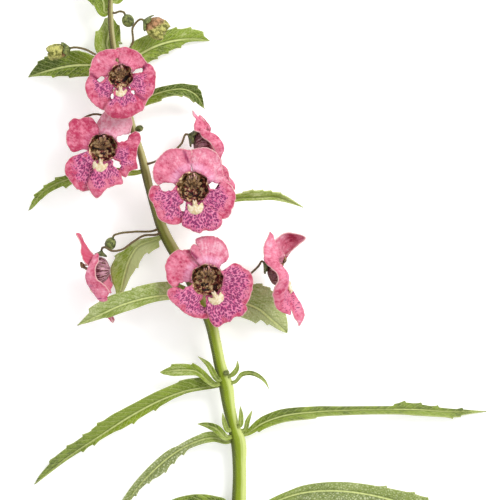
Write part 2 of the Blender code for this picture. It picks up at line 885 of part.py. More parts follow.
def build_calyx(name, on_body, tilt, axes, stalk, reaches):
    """A stalk that opens into a cup of five sepals, laid against the body that it holds."""
    across, up, ahead = axes
    reach, notch = reaches
    pole = Vector((0, math.sin(math.radians(tilt)), -math.cos(math.radians(tilt))))
    side = Vector((1, 0, 0))
    rise = Vector((0, math.cos(math.radians(tilt)), math.sin(math.radians(tilt))))

    def on_shell(distance, angle, outward):
        d = math.radians(distance)
        direction = pole * math.cos(d) + (side * math.cos(angle) + rise * math.sin(angle)) * math.sin(d)
        return on_body(direction, outward)

    inner = BLADE / 2 + CALYX_SEAT
    outer = inner + BLADE

    def shell_ring(tip, valley, outward):
        ring = []
        for k in range(TUBE_SIDES):
            angle = 2 * math.pi * k / TUBE_SIDES
            ring.append(on_shell(tip if k % 2 == 0 else valley, angle, outward))
        return ring

    heading = -(across * pole.x + up * pole.y + ahead * pole.z).normalized()
    arrival = on_shell(0, 0, outer + CALYX_NECK)
    world_rise = (across * rise.x + up * rise.y + ahead * rise.z).normalized()
    foot, between = stalk
    narrow, middle, deep = (share * notch for share in CUP_RINGS)
    rings = stalk_rings(stalk_points(foot, between, arrival, heading), across, world_rise) + [
        shell_ring(narrow, narrow, outer + CUP_SHOULDER),
        shell_ring(middle, middle, outer),
        shell_ring(reach, notch, outer - SEPAL_THINNED),
        shell_ring(reach, notch, inner),
        shell_ring(deep, deep, inner),
    ]
    points, faces = loft(rings, end=on_shell(0, 0, inner))
    add_object(name, points, faces, "calyx")


def bump(at, middle, width):
    return math.exp(-(((at - middle) / width) ** 2))


def build_tooth(name, flower):
    """The cream tooth with two horns at the root of the lower lobe, laid just off the lobe's surface."""
    lowest = flower.lowest_lobe()
    columns, rows = 6, 4
    under, over = [], []
    for row in range(rows + 1):
        t = TOOTH_ROOT + TOOTH_LENGTH * row / rows
        for column in range(columns + 1):
            side = TOOTH_SIDE * (2 * column / columns - 1)
            here = flower.lobe_point(lowest, side, t)
            normal = lobe_normal(flower, lowest, side, t)
            base = here + normal * (BLADE / 2 + SEAT)
            horn = bump(abs(side), HORN_SIDE, HORN_WIDE) * bump(t, HORN_AT, HORN_LONG)
            dome = math.cos(side / TOOTH_SIDE * math.pi / 2) * math.sin(math.pi * (row + 0.5) / (rows + 1))
            height = TOOTH_EDGE + TOOTH_DOME * max(dome, 0.0) + HORN_HIGH * horn
            under.append(base)
            over.append(base + normal * flower.size * height)
    points = under + over
    lift = len(under)
    wide = columns + 1
    faces = []
    for row in range(rows):
        for column in range(columns):
            a = row * wide + column
            b, c, d = a + 1, a + wide + 1, a + wide
            faces += [(a, b, c), (a, c, d)]
            faces += [(lift + a, lift + c, lift + b), (lift + a, lift + d, lift + c)]
    border = [column for column in range(wide)]
    border += [row * wide + columns for row in range(1, rows + 1)]
    border += [rows * wide + column for column in range(columns - 1, -1, -1)]
    border += [row * wide for row in range(rows - 1, 0, -1)]
    for k, a in enumerate(border):
        b = border[(k + 1) % len(border)]
        faces.append((a, lift + a, lift + b, b))
    add_object(name, points, faces, "tooth")


def lobe_normal(flower, index, side, t):
    """Direction out of a lobe's front face."""
    step = 0.02
    across = flower.lobe_point(index, side + step, t) - flower.lobe_point(index, side - step, t)
    along = flower.lobe_point(index, side, t + step) - flower.lobe_point(index, side, t)
    normal = along.cross(across).normalized()
    return normal if normal.dot(flower.ahead) > 0 else -normal


def build_flower(name, spec):
    flower = Flower(spec)
    build_corolla(f"{name}_corolla", flower)
    tilt = spec["calyx_tilt"]
    room = math.degrees(flower.mouth_polar()) - tilt - SEPAL_CLEAR
    axes = (flower.across, flower.up, flower.ahead)
    stalk = (spec["foot"], spec["stalk"])
    build_calyx(f"{name}_calyx", flower.on_pouch, tilt, axes, stalk, (min(SEPAL_REACH, room), SEPAL_NOTCH))
    build_tooth(f"{name}_tooth", flower)


def bud_frame(pointing):
    ahead = Vector(pointing).normalized()
    up = Vector((0, 0, 1))
    up = (up - ahead * up.dot(ahead)).normalized()
    return up.cross(ahead), up, ahead


def build_bud(name, spec):
    """A closed bud. Where its petals show, they are a body of their own in a calyx like a flower's."""
    radius, length, foot, between = (spec[key] for key in ("radius", "length", "foot", "stalk"))
    middle, pointing = spec["middle"], spec["points"]
    if middle is None:
        base, pointing = seat_on_stem(*foot)
        middle = base + pointing * (length / 2 + BUD_NECK)
    middle = Vector(middle)
    across, up, ahead = bud_frame(pointing)

    def on_bud(direction, outward=0.0):
        wide, deep = radius + outward, length / 2 + outward
        flat = across * (direction.x * wide) + up * (direction.y * wide)
        return middle + flat + ahead * (direction.z * deep)

    def ring(polar):
        found = []
        for k in range(TUBE_SIDES):
            angle = 2 * math.pi * k / TUBE_SIDES
            flat = math.sin(polar) * (1 - (BUD_FURROW if k % 2 else 0.0))
            way = Vector((flat * math.cos(angle), flat * math.sin(angle), -math.cos(polar)))
            found.append(on_bud(way))
        return found

    body = [ring(math.radians(polar)) for polar in BUD_RINGS]
    if spec["petals_show"]:
        points, faces = loft(body, on_bud(Vector((0, 0, -1))), on_bud(Vector((0, 0, 1))))
        add_object(f"{name}_petals", points, faces, "bud_petals")
        reach = (BUD_SEPAL_REACH, BUD_SEPAL_NOTCH)
        build_calyx(f"{name}_calyx", on_bud_shell(on_bud), 0, (across, up, ahead), (foot, between), reach)
        return
    arrival = on_bud(Vector((0, 0, -1))) - ahead * BUD_NECK
    if between:
        rings = stalk_rings(stalk_points(foot, between, arrival, ahead), across, up) + body
    else:
        rings = [circle(arrival, across, up, BUD_FOOT * radius, TUBE_SIDES)] + body
    points, faces = loft(rings, end=on_bud(Vector((0, 0, 1))))
    add_object(name, points, faces, "bud")


def on_bud_shell(on_bud):
    """The bud's petals are solid, so a calyx round them needs no room for half a blade."""
    return lambda direction, outward: on_bud(direction, outward - BLADE / 4)


def main():
    remove_scene_objects()
    build_stem()
    for name, spec in LEAVES.items():
        build_leaf(name, spec)
    for name, spec in FLOWERS.items():
        build_flower(name, spec)
    for name, spec in BUDS.items():
        build_bud(name, spec)


main()
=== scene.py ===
"""Looks of one cut flowering stem of angelonia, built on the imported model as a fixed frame.

The stem runs along Y with its growing tip at +Y, and the front of the plant faces up (+Z). Sizes are in
millimetres and are turned into metres by MM. Each piece stands for the plain solid of the same part.
"""

import math

import bpy
import numpy as np
from mathutils import Matrix, Vector, noise


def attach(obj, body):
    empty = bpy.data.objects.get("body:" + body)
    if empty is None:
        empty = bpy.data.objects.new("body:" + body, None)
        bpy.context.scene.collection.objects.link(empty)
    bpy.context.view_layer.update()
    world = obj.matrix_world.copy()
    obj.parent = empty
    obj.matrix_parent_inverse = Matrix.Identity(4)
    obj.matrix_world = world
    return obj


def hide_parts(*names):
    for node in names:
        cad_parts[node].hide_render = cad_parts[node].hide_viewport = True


noise.seed_set(1)  # without it, noise_vector differs from run to run

MM = 0.001
CENTRE = Vector((-0.74, -0.64, 0.0))  # middle of the outline, which is the frame's origin

PETAL = 0.34  # thickness of petals
LEAF = 0.5  # thickness of leaves
UP = Vector((0, 0, 1))
ROOTED = 0.3  # a leaf or a stalk starts this far inside the stem's skin
SOLID_BLADE = 0.62  # thickness of the frame's petals and leaves
PEDICEL_RADIUS = 0.5  # of the stalks in the frame

# Stem axis from the cut end to the growing tip: x, y, height, radius. The thicker places are the nodes.
STEM = [(-6.9, -90.4, 3, 2.25), (-6.6, -80, 3.5, 2.2), (-6.3, -71, 4.1, 2.1), (-6.2, -61, 4.8, 2),
    (-6.7, -53, 5.4, 2.2), (-7.8, -49.6, 5.7, 1.85), (-9.3, -43.3, 6.3, 1.85), (-10.3, -36.5, 7, 2.1),
    (-12, -30.7, 7.5, 1.75), (-13.3, -24.4, 8, 1.7), (-15, -17.2, 8.6, 1.8), (-18.3, -10, 9.2, 1.9),
    (-21.9, -2.5, 9.6, 1.8), (-26.7, 5.2, 10, 1.7), (-29.3, 10.3, 10.2, 1.6), (-31.5, 16.6, 10.4, 1.35),
    (-33.2, 22.6, 10.5, 1.25), (-34.5, 28, 10.6, 1.3), (-35.8, 33.1, 10.6, 1.12), (-38, 40, 10.6, 1.02),
    (-39.8, 47, 10.6, 1), (-41.7, 55, 10.5, 0.95), (-43, 60.6, 10.5, 1), (-44, 65, 10.4, 0.87),
    (-44.9, 74.8, 10.2, 0.8), (-44.8, 82.5, 10, 0.6)]

# A leaf's row gives its seat on the stem (y, and the angle round the stem: 0 right, 90 up, 180 left), the
# points of its midrib from there on, and how far its halves are folded up. Lengths are in mm and angles in
# degrees. Where the photograph shows a leaf's edges, the row gives the seen half widths to the left and the
# right of the midrib as (share of the midrib, mm), and the shares at which teeth end. Other rows give the
# half widths of a plain lance and its number of teeth. Pairs are for left and right. What else a row can
# say stands here, as it is for a leaf that doesn't say it.
USUAL_LEAF = dict(
    roll=0,  # how far the blade is turned about its midrib
    tone=(0.4, 0.4),  # how pale each half looks: its own tone plus painted shade on the half turned from the light; 0 deep green, 1 pale and more even beyond
    sunny=((0, 0), (0, 0)),  # where light falls through: start and end as shares of the midrib
    dull=(0, 0),  # how grey and netted the skin is
    tooth_count=0,
)
LEAVES = {
    "leaf_top_left": dict(
        seat=(75.6, 212), midrib=[(-47, 78.6, 8), (-49.8, 83.5, 7.2), (-54, 88.7, 6)], fold=14,
        tone=(0.35, 0.5), halves=(3.9, 2.8), tooth_count=3,
    ),
    "leaf_top_right": dict(
        seat=(78.8, -4), midrib=[(-41.6, 82.4, 9), (-38.4, 89.2, 7.6)], fold=16, tone=(0.3, 0.45),
        halves=(2, 1.8), tooth_count=2,
    ),
    "leaf_under_tip": dict(
        seat=(62.6, 268), midrib=[(-45.8, 65, 7.8), (-45.3, 70, 7.2), (-45, 74.8, 6.4)], fold=10,
        tone=(0.66, 0.5), halves=(3.9, 4.1), tooth_count=2,
    ),
    "leaf_upper_left": dict(
        seat=(60.6, 184),
        midrib=[(-50.8, 59.7, 8.6), (-56.3, 59.5, 7.6), (-59.6, 59, 6.8), (-63.4, 58.1, 5.4),
            (-69.9, 56.2, 2.6)],
        fold=12, tone=(0.3, 0.05), sunny=((0, 0), (0, 0.5)),
        left=[(0.15, 2.8), (0.287, 3.4), (0.395, 3.5), (0.525, 3), (0.72, 1.8), (0.855, 0.8)],
        right=[(0.217, 2.6), (0.36, 4.1), (0.44, 4.5), (0.565, 4.4), (0.672, 4.2), (0.75, 3.8), (0.833, 3),
            (0.9, 2)],
        teeth=([0.525, 0.72], [0.665, 0.75, 0.833]),
    ),
    "leaf_upper_right": dict(
        seat=(60.6, -4),
        midrib=[(-36.1, 62.9, 8.4), (-32.2, 65, 6.8), (-27.9, 66.6, 5.2), (-22, 67.6, 3),
            (-15.1, 67.3, 0.29)],
        fold=12, tone=(0.5, 0.34),
        left=[(0.15, 2.6), (0.305, 4.3), (0.453, 4), (0.588, 3.6), (0.657, 3.4), (0.792, 3.1),
            (0.922, 1.3)],
        right=[(0.15, 2.4), (0.26, 3.4), (0.372, 3.2), (0.517, 2.8), (0.675, 1.8), (0.815, 0.7),
            (0.922, 0.4)],
        teeth=([0.657, 0.792], [0.372, 0.517, 0.675]),
    ),
    "leaf_third_right": dict(
        seat=(47.6, -6),
        midrib=[(-33, 50.2, 11.2), (-27.9, 51.8, 11.6), (-22.8, 52.3, 9.6), (-19, 50.4, 7),
            (-16.7, 46.6, 4.4)],
        fold=26, roll=-12, tone=(-0.2, 0.05), sunny=((0, 0), (0, 0.45)),
        left=[(0.2, 1.4), (0.34, 1.7), (0.495, 1.6), (0.632, 1.8), (0.75, 2.1), (0.843, 1.3)],
        right=[(0.2, 2.2), (0.328, 2.4), (0.425, 1.8), (0.583, 1.9), (0.7, 2), (0.812, 1.6)],
        teeth=([0.75], [0.583, 0.812]),
    ),
    "leaf_fourth_left": dict(
        seat=(27.9, 186),
        midrib=[(-44, 27.6, 9.2), (-53, 26.6, 7.4), (-60.8, 24.2, 5.4), (-64.6, 22.2, 4.4),
            (-69.9, 15.9, 2.2)],
        fold=22, tone=(0.5, 0.4),
        left=[(0.2, 1.2), (0.4, 1.7), (0.557, 1.8), (0.625, 1.8), (0.667, 1.4), (0.772, 1.4), (0.882, 1),
            (0.958, 0.6)],
        right=[(0.2, 1.2), (0.4, 1.6), (0.583, 1.4), (0.672, 1.3), (0.728, 1.2), (0.782, 0.9), (0.873, 0.9),
            (0.94, 0.6)],
        teeth=([0.625], [0.672, 0.782, 0.873]),
    ),
    "leaf_fifth_right": dict(
        seat=(12, 0),
        midrib=[(-18, 15.4, 8.8), (-7.3, 19.4, 7.6), (-0.8, 19.8, 6.8), (4.1, 20, 5.8), (13.1, 16.9, 3)],
        fold=28, roll=22, tone=(0.62, 0.7),
        left=[(0.3, 1.2), (0.512, 1.3), (0.565, 1.8), (0.635, 2), (0.7, 1.7), (0.757, 1.4), (0.82, 1.2),
            (0.94, 0.5)],
        right=[(0.3, 1), (0.505, 0.9), (0.657, 0.9), (0.785, 1), (0.868, 0.7), (0.94, 0.3)],
        teeth=([0.635, 0.7, 0.757, 0.82], []),
    ),
    "leaf_fifth_left": dict(
        seat=(8.6, 196),
        midrib=[(-37, 4.8, 7.6), (-39.3, 1.1, 6.2), (-40.7, -3, 4.2), (-41.8, -7.6, 2.8),
            (-43.2, -11.9, 1.6)],
        fold=12, tone=(1.3, 0.82), sunny=((0, 0), (0.55, 1)),
        left=[(0.085, 1.4), (0.198, 3), (0.35, 3.2), (0.515, 2.8), (0.68, 1.8), (0.802, 1.2), (0.9, 0.6)],
        right=[(0.1, 1), (0.235, 1.6), (0.367, 2.4), (0.502, 4.1), (0.6, 4.6), (0.728, 3.6), (0.86, 1.6)],
        teeth=([0.198, 0.515], [0.367, 0.502]),
    ),
    "leaf_sixth_left": dict(
        seat=(-9.9, 174),
        midrib=[(-27.4, -9.7, 11.6), (-34, -10.4, 13.2), (-41.6, -12.6, 13.8), (-49, -16, 12.6),
            (-54.9, -18.6, 10.2)],
        fold=16, roll=6, tone=(0.66, 0.74), dull=(0.2, 0.3),
        left=[(0.12, 1), (0.237, 1.3), (0.352, 1.6), (0.555, 2.2), (0.667, 2), (0.775, 1.2), (0.877, 0.7)],
        right=[(0.12, 3.2), (0.242, 4.3), (0.36, 4.2), (0.487, 3.5), (0.545, 3.7), (0.657, 4), (0.735, 3.8),
            (0.863, 2)],
        teeth=([], [0.487, 0.735]),
    ),
    "leaf_sixth_right": dict(
        seat=(-10.6, -8),
        midrib=[(-10, -10.2, 7.6), (-4, -12.2, 5.6), (-0.2, -13.9, 4.4), (2.9, -16.5, 3.2),
            (8.2, -21.1, 0.95)],
        fold=8, tone=(0.82, 0.95), dull=(0.3, 0.3),
        left=[(0.2, 4), (0.458, 6.4), (0.532, 6.8), (0.598, 6.8), (0.667, 6.4), (0.775, 5.2), (0.868, 3.7),
            (0.958, 1.5)],
        right=[(0.25, 3.4), (0.468, 4.3), (0.565, 4.2), (0.647, 2.7), (0.777, 1.5), (0.887, 1)],
        teeth=([0.532, 0.598, 0.775], [0.777]),
    ),
    "leaf_seventh_left": dict(
        seat=(-36.3, 196),
        midrib=[(-23.6, -38.8, 7.6), (-29.9, -41.2, 7.6), (-38.3, -45.6, 6.8), (-48.4, -52.2, 4.9),
            (-58.5, -59, 2.6), (-68.2, -66.8, 0.305)],
        fold=18, tone=(0.3, 0.16), sunny=((0.2, 0.75), (0.1, 0.8)), dull=(0, 0.15),
        left=[(0.1, 0.6), (0.195, 0.9), (0.33, 1.7), (0.45, 2), (0.575, 1.2), (0.66, 0.9), (0.802, 0.5),
            (0.97, 0.2)],
        right=[(0.05, 1.6), (0.105, 3.4), (0.16, 3.6), (0.26, 3), (0.365, 2.9), (0.455, 3.1), (0.527, 3.4),
            (0.59, 3.3), (0.677, 2.8), (0.77, 2.7), (0.875, 2), (0.948, 1.2)],
        teeth=([0.33, 0.45, 0.66, 0.723], [0.59, 0.677, 0.77, 0.875]),
    ),
    "leaf_seventh_axil": dict(
        seat=(-35.6, 152), midrib=[(-19.5, -32.3, 8.9), (-24, -32, 8.6), (-30.3, -32.7, 7)], fold=20,
        tone=(0.7, 0.5), sunny=((0.1, 0.45), (0.1, 0.6)),
        left=[(0.315, 1), (0.532, 1.6), (0.703, 1.8), (0.877, 1.2)],
        right=[(0.28, 1.4), (0.445, 1.6), (0.623, 1.9), (0.792, 1.3)], teeth=([], [0.5, 0.792]),
    ),
    "leaf_seventh_shoot_left": dict(
        seat=(-34.4, 122), midrib=[(-15.9, -30, 10.2), (-18.7, -27.9, 10)], fold=18, halves=(0.95, 0.95),
    ),
    "leaf_seventh_shoot_right": dict(
        seat=(-36.2, 24),
        midrib=[(-5.2, -33.2, 9.4), (-2.9, -32.9, 9.8), (1.3, -35.2, 9.2), (2.9, -38.1, 8.2)], fold=14,
        halves=(0.75, 0.75),
    ),
    "leaf_seventh_shoot_up": dict(
        seat=(-34.2, 40), midrib=[(-6.9, -31.6, 9.8), (-6.7, -29.2, 10.4)], fold=18, halves=(0.8, 0.8),
    ),
    "leaf_eighth_right": dict(
        seat=(-52.2, -4),
        midrib=[(0.6, -48.3, 5.6), (5.5, -46.4, 5.9), (16.8, -44.8, 6.2), (27.2, -44.3, 5.8),
            (37, -44.1, 4.9), (47.7, -44.2, 3.6), (57, -44.8, 2.1), (68.5, -44.7, 0.27)],
        fold=20, roll=-30, tone=(0.2, 0.4), dull=(0.1, 0.15),
        left=[(0.083, 1.8), (0.12, 2.1), (0.16, 2.2), (0.23, 2), (0.307, 1.8), (0.443, 1.3), (0.575, 1.1),
            (0.62, 1.7), (0.67, 2.2), (0.733, 1.7), (0.802, 1.2), (0.905, 0.7), (0.958, 0.3)],
        right=[(0.055, 1), (0.145, 1.7), (0.233, 1.7), (0.372, 1.2), (0.615, 1.2), (0.745, 1.5),
            (0.86, 1.4), (0.895, 0.9), (0.958, 0.3)],
        teeth=([0.67, 0.733, 0.802, 0.905], [0.86]),
    ),
    "leaf_eighth_left": dict(
        seat=(-53, 186),
        midrib=[(-14.3, -52.6, 5.6), (-20.7, -54.3, 5.7), (-26.4, -57.6, 5.2), (-31.8, -62.2, 4.3),
            (-36.6, -67.4, 3.3), (-43.4, -77.6, 1.5)],
        fold=18, tone=(0.6, 0.66), dull=(0.75, 0.65),
        left=[(0.083, 0.9), (0.193, 1.3), (0.275, 1.2), (0.36, 1.5), (0.45, 2.1), (0.532, 2.5), (0.67, 1.2),
            (0.795, 0.6)],
        right=[(0.05, 2), (0.122, 2), (0.22, 1.7), (0.343, 1.4), (0.472, 1.9), (0.77, 1.8), (0.853, 1.8),
            (0.93, 1.2)],
        teeth=([0.36, 0.45, 0.532, 0.67, 0.795], []),
    ),
    "leaf_eighth_axil_left": dict(
        seat=(-51.6, 148), midrib=[(-13.5, -49.5, 7.5), (-16.5, -48.5, 7.5), (-19, -48.3, 6.8)], fold=18,
        halves=(1.3, 1.3),
    ),
    "leaf_eighth_shoot_left": dict(
        seat=(-49.6, 130), midrib=[(-10.9, -47, 8.7), (-11.2, -44.9, 9.2)], fold=14, halves=(0.8, 0.8),
    ),
    "leaf_eighth_shoot_right": dict(
        seat=(-49.2, 44), midrib=[(-5.7, -46.4, 7.9), (-5.9, -42.9, 8.7)], fold=14, halves=(0.8, 0.8),
    ),
    "leaf_eighth_axil_right": dict(
        seat=(-51, 14), midrib=[(-3.7, -47.4, 7.2), (-2.3, -44.1, 8)], fold=14, halves=(0.75, 0.75),
    ),
    "leaf_ninth_left": dict(
        seat=(-76.6, 184),
        midrib=[(-13.5, -73.6, 4), (-19.5, -72.9, 4.2), (-27, -75.6, 3.4), (-33, -80, 2.4),
            (-37.4, -85.6, 1.6)],
        fold=12, tone=(0.3, 0.28), left=[(0.1, 2), (0.25, 3.2), (0.5, 3.4), (0.7, 3), (0.85, 1.8)],
        right=[(0.08, 2.6), (0.155, 3.8), (0.258, 3.3), (0.378, 3.4), (0.502, 3.7), (0.7, 3.2), (0.85, 2)],
        teeth=([0.4, 0.6, 0.75], [0.6, 0.75]),
    ),
    "leaf_ninth_right": dict(
        seat=(-76.6, -2),
        midrib=[(3, -72.6, 4.6), (11.7, -69.4, 5.4), (22, -68.5, 5.6), (32.3, -69.6, 5), (42, -72, 3.9),
            (51, -74.6, 2.7), (60, -77.6, 1.6)],
        fold=16, roll=-14, tone=(0.52, 0.4), dull=(0.5, 0.7),
        left=[(0.08, 1.2), (0.205, 1.6), (0.305, 2.3), (0.487, 2.9), (0.6, 3.1), (0.647, 3.3), (0.775, 3.7),
            (0.84, 3.2)],
        right=[(0.1, 1.8), (0.3, 3.2), (0.5, 3.6), (0.7, 3.2), (0.85, 2)],
        teeth=([0.647, 0.775, 0.84], [0.55, 0.7, 0.8]),
    ),
}

# A flower's row gives the middle of its throat, its size, the foot of its stalk on the stem (y, angle) and
# the stalk's points from there on, its five lobes as (direction, rise half way, rise at the tip), how deep
# each lobe's pink is, and how far the lobes' roots turn lilac. The first two lobes are the upper ones. What
# else a row can say stands here, as it is for a flower that doesn't say it.
USUAL_FLOWER = dict(
    faces=(0, 0, 1),
    up=(0, 1, 0),
    calyx_tilt=25,  # how far up its back the calyx sits
    dotted=1,  # how strongly the lower lobes are dotted
    dotted_to=(0.8, 0.8, 0.8),  # share of the right, the lower and the left lobe at which the dots end
    pouch_depth=0.6,  # how deep the colour of the pouch is
    tooth_sunk=0,  # mm that the tooth lies deeper, behind the near lobe
    anthers_moved=(0, 0),  # mm that the anthers are moved out and up
    blushes={},  # by lobe: middle across and along it, half sizes, as shares of the lobe, and strength
    creases=(),  # creases, each drawn as a line of painted shade: start and end from the throat, and half width
    holes=(),  # openings between lobes: middle from the throat, half length, half width, and turn
    outlines=(),  # of a front flower's lobes, each from one notch round to the next, from the throat
    profiles={},  # by lobe seen in profile: its free edge and, where it rolls over one, its crest
    plain={},  # by other lobe of a side flower: reach and width
)
